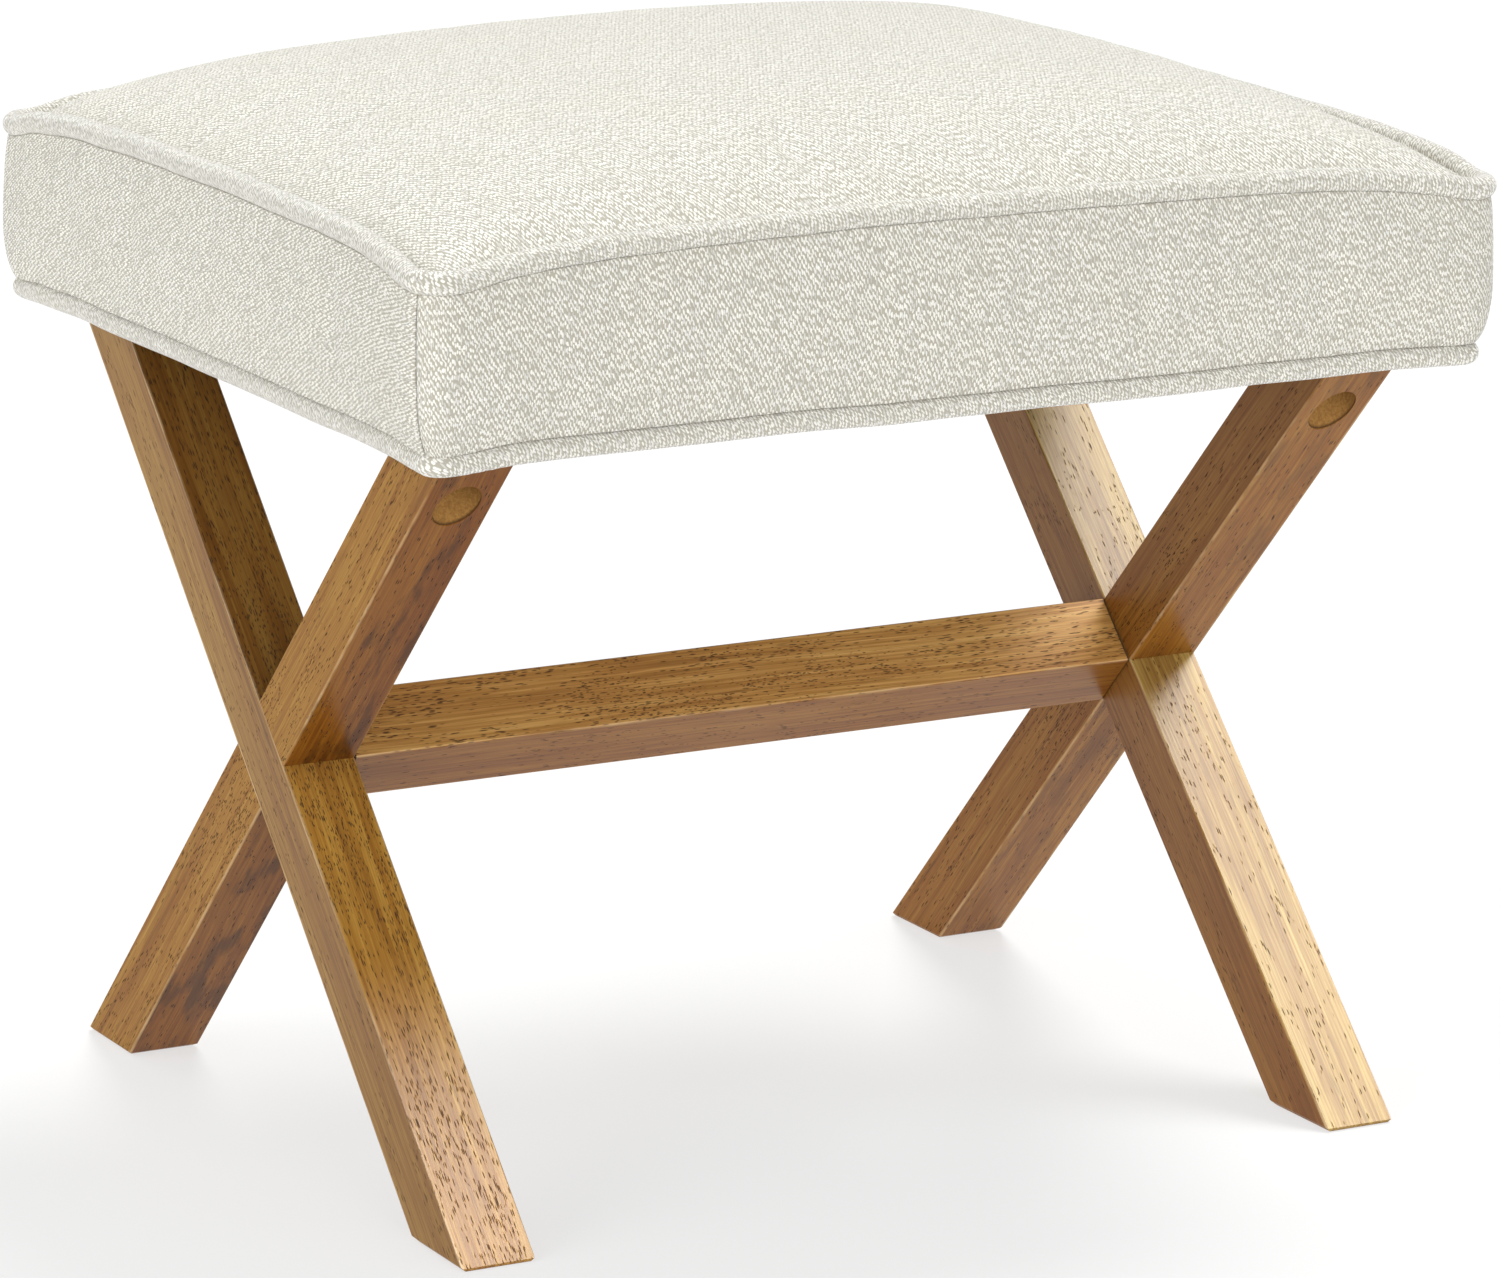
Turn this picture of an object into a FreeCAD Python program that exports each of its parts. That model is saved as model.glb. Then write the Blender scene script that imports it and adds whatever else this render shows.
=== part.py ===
import FreeCAD, Part
import math
import os
import Sketcher
from FreeCAD import Placement, Rotation, Vector

# Ottoman: a boxed seat with two welts, bolted to two crossed-leg frames that a stretcher joins.
# Millimetres. The front is -Y, the left frame is at -X, and the feet stand on z = 0.

doc = FreeCAD.newDocument("ottoman")
sizes = doc.addObject("Spreadsheet::Sheet", "sizes")

driving = [
    ("frame_width", 468),  # over the outer faces of the two crossed frames
    ("frame_height", 362),  # floor to leg tops
    ("foot_spread", 362),  # between foot centres, front to back
    ("leg_size", 35),  # side of the square leg and stretcher section
    ("edge_ease", 0.8),
    ("foot_ease", 2),
    ("dowel_diameter", 8),
    ("dowel_length", 50),
    ("dowel_pitch", 18),
    ("glue_gap", 0.1),  # round a dowel
    ("bolt_inset", 12.5),  # bolt axis inside the leg's centre at its top
    ("bolt_diameter", 6),
    ("bolt_length", 35),
    ("bolt_head_diameter", 10.5),
    ("bolt_head_height", 3.3),
    ("bolt_key_diameter", 4),
    ("bolt_key_depth", 2),
    ("bolt_land", 18),  # wood left between counterbore and leg top
    ("counterbore_diameter", 21),
    ("hole_clearance", 0.3),  # round a bolt
    ("washer_diameter", 16),
    ("washer_thickness", 1.5),
    ("spring_washer_diameter", 10),
    ("spring_washer_thickness", 1.6),
    ("tee_nut_diameter", 19),
    ("tee_nut_plate", 1.4),
    ("tee_nut_barrel", 8),
    ("tee_nut_depth", 10),
    ("thread_clearance", 0.1),
    ("side_overhang", 27),  # upper welt beyond the outer face of a frame
    ("end_overhang", 25.25),  # upper welt beyond the end of a foot
    ("box_height", 71.7),  # underside of the base to the upper welt at a corner
    ("crown_height", 47.5),  # upper welt at a corner to the top of the crown
    ("corner_radius", 16),  # outside of the upper welt, in plan
    ("base_thickness", 15),
    ("side_build", 10.5),  # from the base's edge out to the upper welt
    ("welt_rise", 10),  # extra height of the upper welt at mid side
    ("welt_blend", 40),  # radius where the rise starts beside a corner
    ("welt_diameter", 9),
    ("lower_welt_diameter", 8.6),
    ("lower_welt_inset", 4.5),  # inside the upper welt
    ("crown_edge", 1.5),  # top panel's edge above the centre of the upper welt
    ("bulge_inset", 1),  # widest part of the boxing inside the upper welt
    ("fabric_thickness", 1),
    ("wadding_thickness", 6),
    ("soft_clearance", 0.3),
    ("leg_clearance", 0.6),  # between a leg's top and the wall of the dust cover
    ("dust_cover_thickness", 0.8),
    ("dust_cover_lap", 8),  # dust cover over the turned-under flange
    ("staple_crown", 10),
    ("staple_wire", 0.7),
    ("staple_width", 1.2),
    ("staple_leg", 7),  # driven into the base
    ("staple_inset", 3.2),  # cover staples inside the base's edge
]
for row, (name, number) in enumerate(driving, start=1):
    sizes.set("A%d" % row, name)
    sizes.set("B%d" % row, str(number))
    sizes.setAlias("B%d" % row, name)
doc.recompute()

size = {name: float(sizes.get(name)) for name, number in driving}
up = Vector(0, 0, 1)

# Expressions that several pieces share
leg_run = (
    "(sizes.leg_size * sqrt(sizes.foot_spread ^ 2 + sizes.frame_height ^ 2) / sizes.frame_height)"
)
base_bottom = "(sizes.frame_height + sizes.dust_cover_thickness)"
base_top = "(%s + sizes.base_thickness)" % base_bottom
leg_end_x = "(sizes.frame_width / 2)"
leg_end_y = "(sizes.foot_spread / 2 + %s / 2)" % leg_run
seat_half_x = "(%s + sizes.side_overhang)" % leg_end_x
seat_half_y = "(%s + sizes.end_overhang)" % leg_end_y
base_half_x = "(%s - sizes.side_build)" % seat_half_x
base_half_y = "(%s - sizes.side_build)" % seat_half_y
welt_level = "(%s + sizes.box_height)" % base_bottom
seat_top = "(%s + sizes.crown_height)" % welt_level
bolt_x = "(sizes.frame_width / 2 - sizes.leg_size / 2)"
bolt_y = "(sizes.foot_spread / 2 - sizes.bolt_inset)"
counterbore_top = "(sizes.frame_height - sizes.bolt_land)"
stretcher_length = "(sizes.frame_width - 2 * sizes.leg_size)"

# Underside of the seat, from the legs outwards: dust cover, its wall, cover flange, dust cover's rim
inner_x = "(%s + sizes.leg_clearance)" % leg_end_x
inner_y = "(%s + sizes.leg_clearance)" % leg_end_y
well_x = "(%s + sizes.dust_cover_thickness)" % inner_x
well_y = "(%s + sizes.dust_cover_thickness)" % inner_y
flange_x = "(%s + sizes.soft_clearance)" % well_x
flange_y = "(%s + sizes.soft_clearance)" % well_y
lap_x = "(%s + sizes.dust_cover_lap)" % flange_x
lap_y = "(%s + sizes.dust_cover_lap)" % flange_y


def number_of(expression):
    return float(sizes.evalExpression(expression))


def new_body(label):
    body = doc.addObject("PartDesign::Body", label)
    body.Label = label
    return body


def new_sketch(body, name, role, offset="0"):
    plane = [item for item in body.Origin.OriginFeatures if item.Role == role][0]
    sketch = body.newObject("Sketcher::SketchObject", name)
    sketch.AttachmentSupport = [(plane, "")]
    sketch.MapMode = "FlatFace"
    sketch.setExpression("AttachmentOffset.Base.z", offset)
    return sketch


def bind(sketch, constraint, expression):
    index = sketch.addConstraint(constraint)
    sketch.setExpression("Constraints[%d]" % index, expression)


def place(sketch, geometry, point, across, along):
    bind(sketch, Sketcher.Constraint("DistanceX", -1, 1, geometry, point, number_of(across)), across)
    bind(sketch, Sketcher.Constraint("DistanceY", -1, 1, geometry, point, number_of(along)), along)


def draw_polygon(sketch, corners):
    points = [Vector(number_of(across), number_of(along), 0) for across, along in corners]
    lines = [
        sketch.addGeometry(Part.LineSegment(start, end), False)
        for start, end in zip(points, points[1:] + points[:1])
    ]
    for line, following in zip(lines, lines[1:] + lines[:1]):
        sketch.addConstraint(Sketcher.Constraint("Coincident", line, 2, following, 1))
    for line, (across, along) in zip(lines, corners):
        place(sketch, line, 1, across, along)


def draw_circle(sketch, across, along, diameter):
    centre = Vector(number_of(across), number_of(along), 0)
    circle = sketch.addGeometry(Part.Circle(centre, up, number_of(diameter) / 2), False)
    place(sketch, circle, 3, across, along)
    bind(sketch, Sketcher.Constraint("Diameter", circle, number_of(diameter)), diameter)


def rectangle(half_x, half_y):
    return [
        ("-" + half_x, "-" + half_y),
        (half_x, "-" + half_y),
        (half_x, half_y),
        ("-" + half_x, half_y),
    ]


def extrude(body, kind, name, sketch, length, reverse=False):
    feature = body.newObject("PartDesign::" + kind, name)
    feature.Profile = sketch
    feature.setExpression("Length", length)
    feature.Reversed = reverse
    doc.recompute()
    return feature


def chamfer(body, name, feature, chosen, amount):
    edges = ["Edge%d" % (n + 1) for n, edge in enumerate(feature.Shape.Edges) if chosen(edge)]
    eased = body.newObject("PartDesign::Chamfer", name)
    eased.Base = (feature, edges)
    eased.setExpression("Size", amount)
    doc.recompute()
    return eased


def is_straight(edge):
    return isinstance(edge.Curve, (Part.Line, Part.LineSegment))


def leg_outline(lean):
    foot = "(%d * sizes.foot_spread / 2)" % -lean
    top = "(%d * sizes.foot_spread / 2)" % lean
    return [
        ("%s - %s / 2" % (foot, leg_run), "0"),
        ("%s + %s / 2" % (foot, leg_run), "0"),
        ("%s + %s / 2" % (top, leg_run), "sizes.frame_height"),
        ("%s - %s / 2" % (top, leg_run), "sizes.frame_height"),
    ]


def make_leg(label, lean, runs_through, turned):
    # Local x runs from the outer face (0) to the inner face; lean is the side that the top goes to.
    body = new_body(label)
    outline = new_sketch(body, label + "_outline", "YZ_Plane")
    draw_polygon(outline, leg_outline(lean))
    extrude(body, "Pad", label + "_blank", outline, "sizes.leg_size")
    lap_plane = "sizes.leg_size" if runs_through else "0"
    lap = new_sketch(body, label + "_lap_outline", "YZ_Plane", lap_plane)
    draw_polygon(lap, leg_outline(-lean))
    extrude(body, "Pocket", label + "_lap", lap, "sizes.leg_size / 2", not runs_through)
    across, along = "sizes.leg_size / 2", "%d * %s" % (lean, bolt_y)
    recess = new_sketch(body, label + "_recess_circle", "XY_Plane")
    draw_circle(recess, across, along, "sizes.counterbore_diameter")
    extrude(body, "Pocket", label + "_recess", recess, counterbore_top, True)
    hole = new_sketch(body, label + "_bolt_circle", "XY_Plane")
    draw_circle(hole, across, along, "sizes.bolt_diameter + 2 * sizes.hole_clearance")
    extrude(body, "Pocket", label + "_bolt_hole", hole, "sizes.frame_height + sizes.leg_size", True)
    dowels = new_sketch(body, label + "_dowel_circles", "YZ_Plane", "sizes.leg_size")
    for side in (-1, 1):
        height = "sizes.frame_height / 2 + %d * sizes.dowel_pitch / 2" % side
        draw_circle(dowels, "0", height, "sizes.dowel_diameter + 2 * sizes.glue_gap")
    drilled = extrude(body, "Pocket", label + "_dowel_holes", dowels, "sizes.dowel_length / 2")
    axis = Vector(0, lean * size["foot_spread"], size["frame_height"]).normalize()

    def on_foot(edge):
        return all(abs(vertex.Z) < 0.01 for vertex in edge.Vertexes)

    def along_leg(edge):
        if not is_straight(edge) or edge.Length < size["leg_size"]:
            return False
        if abs(edge.tangentAt(edge.FirstParameter).dot(axis)) < 0.999:
            return False
        x = edge.Vertexes[0].X
        outer = abs(x) < 0.01 and not runs_through
        return outer or abs(x - size["leg_size"]) < 0.01

    foot = chamfer(body, label + "_foot", drilled, on_foot, "sizes.foot_ease")
    chamfer(body, label + "_edges", foot, along_leg, "sizes.edge_ease")
    if turned:
        body.Placement = Placement(Vector(), Rotation(up, 180))
    body.setExpression("Placement.Base.x", "%d * sizes.frame_width / 2" % (1 if turned else -1))
    return body


def make_stretcher(label):
    body = new_body(label)
    start, end = "-%s / 2" % stretcher_length, "%s / 2" % stretcher_length
    half = "(sizes.leg_size / sqrt(2))"
    middle = "sizes.frame_height / 2"
    section = new_sketch(body, label + "_section", "YZ_Plane", start)
    corners = [("0", middle + " - " + half), (half, middle), ("0", middle + " + " + half), ("-" + half, middle)]
    draw_polygon(section, corners)
    blank = extrude(body, "Pad", label + "_blank", section, stretcher_length)
    drilled = chamfer(body, label + "_edges", blank, is_straight, "sizes.edge_ease")
    for name, plane, reverse in (("left", start, True), ("right", end, False)):
        dowels = new_sketch(body, "%s_%s_circles" % (label, name), "YZ_Plane", plane)
        for side in (-1, 1):
            height = middle + " + %d * sizes.dowel_pitch / 2" % side
            draw_circle(dowels, "0", height, "sizes.dowel_diameter + 2 * sizes.glue_gap")
        drilled = extrude(
            body, "Pocket", "%s_%s_holes" % (label, name), dowels, "sizes.dowel_length / 2", reverse
        )
    return body


def group(label, members):
    together = doc.addObject("Part::Compound", label)
    together.Label = label
    together.Links = members
    return together


def make_dowels(label, side):
    pair = []
    for level in (-1, 1):
        dowel = doc.addObject("Part::Cylinder", "%s_%d" % (label, len(pair)))
        dowel.setExpression("Radius", "sizes.dowel_diameter / 2")
        dowel.setExpression("Height", "sizes.dowel_length")
        dowel.Placement = Placement(Vector(), Rotation(Vector(0, 1, 0), 90))
        joint = "%d * %s / 2 - sizes.dowel_length / 2" % (side, stretcher_length)
        dowel.setExpression("Placement.Base.x", joint)
        height = "sizes.frame_height / 2 + %d * sizes.dowel_pitch / 2" % level
        dowel.setExpression("Placement.Base.z", height)
        pair.append(dowel)
    return group(label, pair)


def turned(label, profile, x_side, y_side):
    body = new_body(label)
    section = new_sketch(body, label + "_section", "XZ_Plane")
    draw_polygon(section, profile)
    feature = body.newObject("PartDesign::Revolution", label + "_turned")
    feature.Profile = section
    feature.ReferenceAxis = (section, ["V_Axis"])
    feature.Angle = 360
    body.setExpression("Placement.Base.x", "%d * %s" % (x_side, bolt_x))
    body.setExpression("Placement.Base.y", "%d * %s" % (y_side, bolt_y))
    doc.recompute()
    return body


def turned_set(label, profile):
    places = [(-1, -1), (1, -1), (-1, 1), (1, 1)]
    return group(label, [turned("%s_%d" % (label, n), profile, x, y) for n, (x, y) in enumerate(places)])


def ring_profile(inner, outer, low, high):
    return [(inner, low), (outer, low), (outer, high), (inner, high)]


# Crossed frames
make_leg("left_through_leg", 1, True, False)
make_leg("left_lapped_leg", -1, False, False)
make_leg("right_through_leg", 1, True, True)
make_leg("right_lapped_leg", -1, False, True)
make_stretcher("stretcher")
make_dowels("left_stretcher_dowels", -1)
make_dowels("right_stretcher_dowels", 1)

# Fixings between frames and seat
shank = "sizes.bolt_diameter / 2"
shank_hole = "(sizes.bolt_diameter / 2 + sizes.hole_clearance)"
washer_low = "(%s - sizes.washer_thickness)" % counterbore_top
spring_low = "(%s - sizes.spring_washer_thickness)" % washer_low
head_low = "(%s - sizes.bolt_head_height)" % spring_low
key_top = "(%s + sizes.bolt_key_depth)" % head_low
bolt_end = "(%s + sizes.bolt_length)" % spring_low
plate_low = "(%s - sizes.tee_nut_plate)" % base_top
barrel_low = "(%s - sizes.tee_nut_depth)" % plate_low
thread = "(sizes.bolt_diameter / 2 + sizes.thread_clearance)"
bolt_profile = [
    ("0", key_top),
    ("sizes.bolt_key_diameter / 2", key_top),
    ("sizes.bolt_key_diameter / 2", head_low),
    ("sizes.bolt_head_diameter / 2", head_low),
    ("sizes.bolt_head_diameter / 2", spring_low),
    (shank, spring_low),
    (shank, bolt_end),
    ("0", bolt_end),
]
tee_nut_profile = [
    (thread, barrel_low),
    ("sizes.tee_nut_barrel / 2", barrel_low),
    ("sizes.tee_nut_barrel / 2", plate_low),
    ("sizes.tee_nut_diameter / 2", plate_low),
    ("sizes.tee_nut_diameter / 2", base_top),
    (thread, base_top),
]
turned_set("leg_bolts", bolt_profile)
turned_set(
    "spring_washers", ring_profile(shank_hole, "sizes.spring_washer_diameter / 2", spring_low, washer_low)
)
turned_set("flat_washers", ring_profile(shank_hole, "sizes.washer_diameter / 2", washer_low, counterbore_top))
turned_set("tee_nuts", tee_nut_profile)


# Rows of staples: each is a crown under the cloth with two legs driven up into the base
def one_staple(crown_top, rises, centre, direction):
    half, wire, width = size["staple_crown"] / 2, size["staple_wire"], size["staple_width"]
    low, high = crown_top - wire, crown_top + rises
    outline = [
        (-half, low),
        (half, low),
        (half, high),
        (half - wire, high),
        (half - wire, crown_top),
        (-half + wire, crown_top),
        (-half + wire, high),
        (-half, high),
    ]
    across = up.cross(direction)
    corners = [centre + direction * u + up * z - across * (width / 2) for u, z in outline]
    return Part.Face(Part.makePolygon(corners + corners[:1])).extrude(across * width)


def staple_rows(label, half_x, half_y, crown_top, rises, counts):
    staples = []
    rows = [
        (Vector(1, 0, 0), Vector(0, half_y, 0), half_x, counts[0]),
        (Vector(0, 1, 0), Vector(half_x, 0, 0), half_y, counts[1]),
    ]
    for direction, offset, reach, count in rows:
        pitch = 2 * reach / count
        for step in range(count):
            along = direction * (pitch * (step + 0.5) - reach)
            for side in (-1, 1):
                staples.append(one_staple(crown_top, rises, offset * side + along, direction))
    row = doc.addObject("Part::Feature", label)
    row.Label = label
    row.Shape = Part.makeCompound(staples)
    return row


edge_x, edge_y = number_of(base_half_x), number_of(base_half_y)
underside = number_of(base_bottom)
flange_bottom = underside - size["fabric_thickness"]
rim_bottom = flange_bottom - size["dust_cover_thickness"]
cover_staples = staple_rows(
    "cover_staples",
    edge_x - size["staple_inset"],
    edge_y - size["staple_inset"],
    flange_bottom,
    size["fabric_thickness"] + size["staple_leg"],
    (9, 8),
)
dust_staples = staple_rows(
    "dust_cover_staples",
    number_of(lap_x) - size["dust_cover_lap"] / 2,
    number_of(lap_y) - size["dust_cover_lap"] / 2,
    rim_bottom,
    size["fabric_thickness"] + size["dust_cover_thickness"] + size["staple_leg"],
    (6, 5),
)


def cut_by(label, body, tool):
    cut = doc.addObject("Part::Cut", label)
    cut.Label = label
    cut.Base = body
    cut.Tool = tool
    return cut


def four_holes(body, name, plane, diameter, depth, reverse):
    circles = new_sketch(body, name + "_circles", "XY_Plane", plane)
    for x_side in (-1, 1):
        for y_side in (-1, 1):
            draw_circle(circles, "%d * %s" % (x_side, bolt_x), "%d * %s" % (y_side, bolt_y), diameter)
    return extrude(body, "Pocket", name, circles, depth, reverse)


# Seat base: a plywood board with tee nuts let in from above
board = new_body("base_board")
board_outline = new_sketch(board, "base_board_outline", "XY_Plane", base_bottom)
draw_polygon(board_outline, rectangle(base_half_x, base_half_y))
blank = extrude(board, "Pad", "base_board_blank", board_outline, "sizes.base_thickness")
upright = ["Edge%d" % (n + 1) for n, edge in enumerate(blank.Shape.Edges) if abs(edge.BoundBox.ZLength) > 1]
rounded = board.newObject("PartDesign::Fillet", "base_board_corners")
rounded.Base = (blank, upright)
rounded.setExpression("Radius", "sizes.corner_radius - sizes.side_build")
doc.recompute()
plate_hole = "sizes.tee_nut_diameter + 2 * sizes.hole_clearance"
barrel_hole = "sizes.tee_nut_barrel + 2 * sizes.hole_clearance"
four_holes(board, "base_board_plates", base_top, plate_hole, "sizes.tee_nut_plate", False)
four_holes(board, "base_board_barrels", base_top, barrel_hole, "sizes.base_thickness + sizes.leg_size", False)
cut_by("seat_base", board, group("staple_slots", [cover_staples, dust_staples]))

# Dust cover: flat against the base, with a rim that laps over the turned-under cover
cloth = new_body("dust_cloth")
rim_low = "(%s - sizes.fabric_thickness - sizes.dust_cover_thickness)" % base_bottom
rim = new_sketch(cloth, "dust_cloth_rim_outline", "XY_Plane", rim_low)
draw_polygon(rim, rectangle(lap_x, lap_y))
extrude(cloth, "Pad", "dust_cloth_rim", rim, "sizes.dust_cover_thickness")
well = new_sketch(cloth, "dust_cloth_well_outline", "XY_Plane", rim_low)
draw_polygon(well, rectangle(well_x, well_y))
extrude(cloth, "Pad", "dust_cloth_well", well, "sizes.fabric_thickness + sizes.dust_cover_thickness")
inner = new_sketch(cloth, "dust_cloth_inner_outline", "XY_Plane", rim_low)
draw_polygon(inner, rectangle(inner_x, inner_y))
extrude(cloth, "Pocket", "dust_cloth_inner", inner, "sizes.fabric_thickness", True)
shank_way = "sizes.bolt_diameter + 2 * sizes.hole_clearance"
four_holes(cloth, "dust_cloth_bolts", base_bottom, shank_way, "sizes.leg_size", False)
cut_by("dust_cover", cloth, dust_staples)


# Arches: a flat middle arc with a tighter arc at each end, tangent where they meet
flat_share, steep_share = 0.3, 1.8
trim = 2.0  # spare cut away round each crowned form


class Arch:
    def __init__(self, half, rise, blend=0.0):
        lift = 2 * math.atan2(rise, half)
        self.inner, self.outer = flat_share * lift, steep_share * lift
        self.reach, self.blend, self.total = half, blend, rise
        self.half = half - blend * math.sin(self.outer)
        self.rise = rise - blend * (1 - math.cos(self.outer))
        a, b = math.sin(self.inner), math.sin(self.outer) - math.sin(self.inner)
        c, d = 1 - math.cos(self.inner), math.cos(self.inner) - math.cos(self.outer)
        self.middle_radius = (self.half * d - b * self.rise) / (a * d - b * c)
        self.end_radius = (a * self.rise - c * self.half) / (a * d - b * c)

    def point(self, slope):
        bend = min(abs(slope), self.inner)
        along = self.middle_radius * math.sin(bend)
        drop = self.middle_radius * (1 - math.cos(bend))
        if abs(slope) > self.inner:
            along += self.end_radius * (math.sin(abs(slope)) - math.sin(self.inner))
            drop += self.end_radius * (math.cos(self.inner) - math.cos(abs(slope)))
        return math.copysign(along, slope), self.total - drop

    def height(self, along):
        along = abs(along)
        if self.blend and along > self.half:
            left = max(self.reach - along, 0)
            return self.blend - math.sqrt(self.blend ** 2 - left ** 2)
        turn = self.middle_radius * math.sin(self.inner)
        if along <= turn:
            slope = math.asin(along / self.middle_radius)
        else:
            slope = math.asin(math.sin(self.inner) + (along - turn) / self.end_radius)
        return self.point(slope)[1]

    def arcs(self, base):
        ends = math.asin(math.sin(self.outer) + trim / self.end_radius)
        stops = [-ends, -self.inner, self.inner, ends]
        for start, end in zip(stops, stops[1:]):
            yield [base + Vector(u, 0, z) for u, z in map(self.point, (start, (start + end) / 2, end))]


half_x, half_y = number_of(seat_half_x), number_of(seat_half_y)
welt_corner, crown_top = number_of(welt_level), number_of(seat_top)
welt_radius = size["welt_diameter"] / 2
clear = size["soft_clearance"]
panel_inset = size["welt_diameter"] + clear
panel_x, panel_y = half_x - panel_inset, half_y - panel_inset
edge_level = welt_corner + size["crown_edge"]
side_arch = Arch(panel_y, size["welt_rise"])
crown_arch = Arch(panel_y, crown_top - edge_level - size["welt_rise"])
stations = (-1, -0.85, -0.6, -0.3, 0, 0.3, 0.6, 0.85, 1)


def crown_points(y, drop):
    side = edge_level + side_arch.height(y)
    middle = edge_level + size["welt_rise"] + crown_arch.height(y)
    return list(Arch(panel_x, middle - side).arcs(Vector(0, y, side - drop)))


def crown_edges(arcs):
    return [Part.Arc(*points).toShape() for points in arcs]


def crowned_sheet(drop, thickness):
    wires = []
    for share in stations:
        y = share * (panel_y + trim)
        under, over = crown_points(y, drop + thickness), crown_points(y, drop)
        edges = crown_edges(under)
        edges.append(Part.makeLine(under[-1][2], over[-1][2]))
        edges += crown_edges(over)[::-1]
        edges.append(Part.makeLine(over[0][0], under[0][0]))
        wires.append(Part.Wire(Part.sortEdges(edges)[0]))
    return Part.makeLoft(wires, True, False)


def crowned_block(drop, floor):
    wires = []
    for share in stations:
        y = share * (panel_y + trim)
        over = crown_points(y, drop)
        left, right = over[0][0], over[-1][2]
        feet = Vector(left.x, y, floor), Vector(right.x, y, floor)
        edges = crown_edges(over)
        edges += [Part.makeLine(right, feet[1]), Part.makeLine(feet[1], feet[0]), Part.makeLine(feet[0], left)]
        wires.append(Part.Wire(Part.sortEdges(edges)[0]))
    return Part.makeLoft(wires, True, False)


def rounded_block(x, y, radius):
    block = Part.makeBox(2 * x, 2 * y, 2 * crown_top, Vector(-x, -y, 0))
    return block.makeFillet(radius, [edge for edge in block.Edges if edge.BoundBox.ZLength > 1])


def soft_piece(label, shape):
    piece = doc.addObject("Part::Feature", label)
    piece.Label = label
    piece.Shape = shape.Solids[0] if len(shape.Solids) == 1 else shape
    return piece


core_radius = size["corner_radius"] - size["side_build"]
core = rounded_block(edge_x, edge_y, core_radius)
panel_block = rounded_block(panel_x, panel_y, size["corner_radius"] - panel_inset)
wadding_drop = size["fabric_thickness"] + clear
foam_drop = wadding_drop + size["wadding_thickness"] + clear
soft_piece("top_panel", crowned_sheet(0, size["fabric_thickness"]).common(panel_block))
soft_piece("top_wadding", crowned_sheet(wadding_drop, size["wadding_thickness"]).common(core))
soft_piece("foam_block", crowned_block(foam_drop, number_of(base_top)).common(core))

# Welts: tubes round the seat, each made of arcs and straight runs that meet square to the tube
corner_x, corner_y = half_x - size["corner_radius"], half_y - size["corner_radius"]


def tube_piece(section, point, heading, turn_to, radius, angle):
    face = Part.Face(Part.Wire(Part.makeCircle(section, point, heading)))
    if radius == 0:
        return face.extrude(heading * angle), point + heading * angle, heading
    axis = heading.cross(turn_to)
    centre = point + turn_to * radius
    spin = Rotation(axis, math.degrees(angle))
    return face.revolve(centre, axis, math.degrees(angle)), centre + spin.multVec(point - centre), spin.multVec(heading)


def welt_side(half, rise):
    if rise == 0:
        return [(0, 0, 2 * half)]
    arch = Arch(half, rise, size["welt_blend"])
    swing = arch.outer - arch.inner
    end = (-1, arch.end_radius, swing)
    blend = (1, arch.blend, arch.outer)
    return [blend, end, (-1, arch.middle_radius, 2 * arch.inner), end, blend]


def welt_ring(section, offset, level, rise):
    point = Vector(-corner_x, -corner_y - offset, level)
    heading = Vector(1, 0, 0)
    pieces = []
    for half in (corner_x, corner_y, corner_x, corner_y):
        left = up.cross(heading)
        for bend, radius, amount in welt_side(half, rise):
            turn_to = heading.cross(left) * bend
            piece, point, heading = tube_piece(section, point, heading, turn_to, radius, amount)
            pieces.append(piece)
        piece, point, heading = tube_piece(section, point, heading, left, offset, math.pi / 2)
        pieces.append(piece)
    return pieces[0].multiFuse(pieces[1:])


def make_welt(label, section, offset, level, rise):
    bore = section - size["fabric_thickness"]
    tube = welt_ring(section, offset, level, rise)
    soft_piece(label, tube.cut(welt_ring(bore, offset, level, rise)))
    soft_piece(label + "_cord", welt_ring(bore - clear, offset, level, rise))


lower_radius = size["lower_welt_diameter"] / 2
lower_offset = size["corner_radius"] - size["lower_welt_inset"] - lower_radius
lower_level = flange_bottom - clear - lower_radius
make_welt("upper_welt", welt_radius, size["corner_radius"] - welt_radius, welt_corner, size["welt_rise"])
make_welt("lower_welt", lower_radius, lower_offset, lower_level, 0)

# Boxing: each side panel bulges between the welts, turns its corners and is folded under the base
side_shares = (-1, -0.97, -0.9, -0.8, -0.65, -0.4, 0, 0.4, 0.65, 0.8, 0.9, 0.97, 1)
corner_angles = (45, 30, 15)
foot_out = lower_offset + clear
bulge_out = size["corner_radius"] - size["bulge_inset"]
seam_out = size["corner_radius"] - welt_radius
seam_drop = welt_radius + clear


def panel_stations(along, outward, half, offset):
    arch = Arch(half, size["welt_rise"], size["welt_blend"])
    for angle in corner_angles:
        turn = math.radians(angle)
        yield outward * offset - along * half, outward * math.cos(turn) - along * math.sin(turn), 0
    for share in side_shares:
        yield outward * offset + along * (half * share), outward, arch.height(half * share)
    for angle in reversed(corner_angles):
        turn = math.radians(angle)
        yield outward * offset + along * half, outward * math.cos(turn) + along * math.sin(turn), 0


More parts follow.
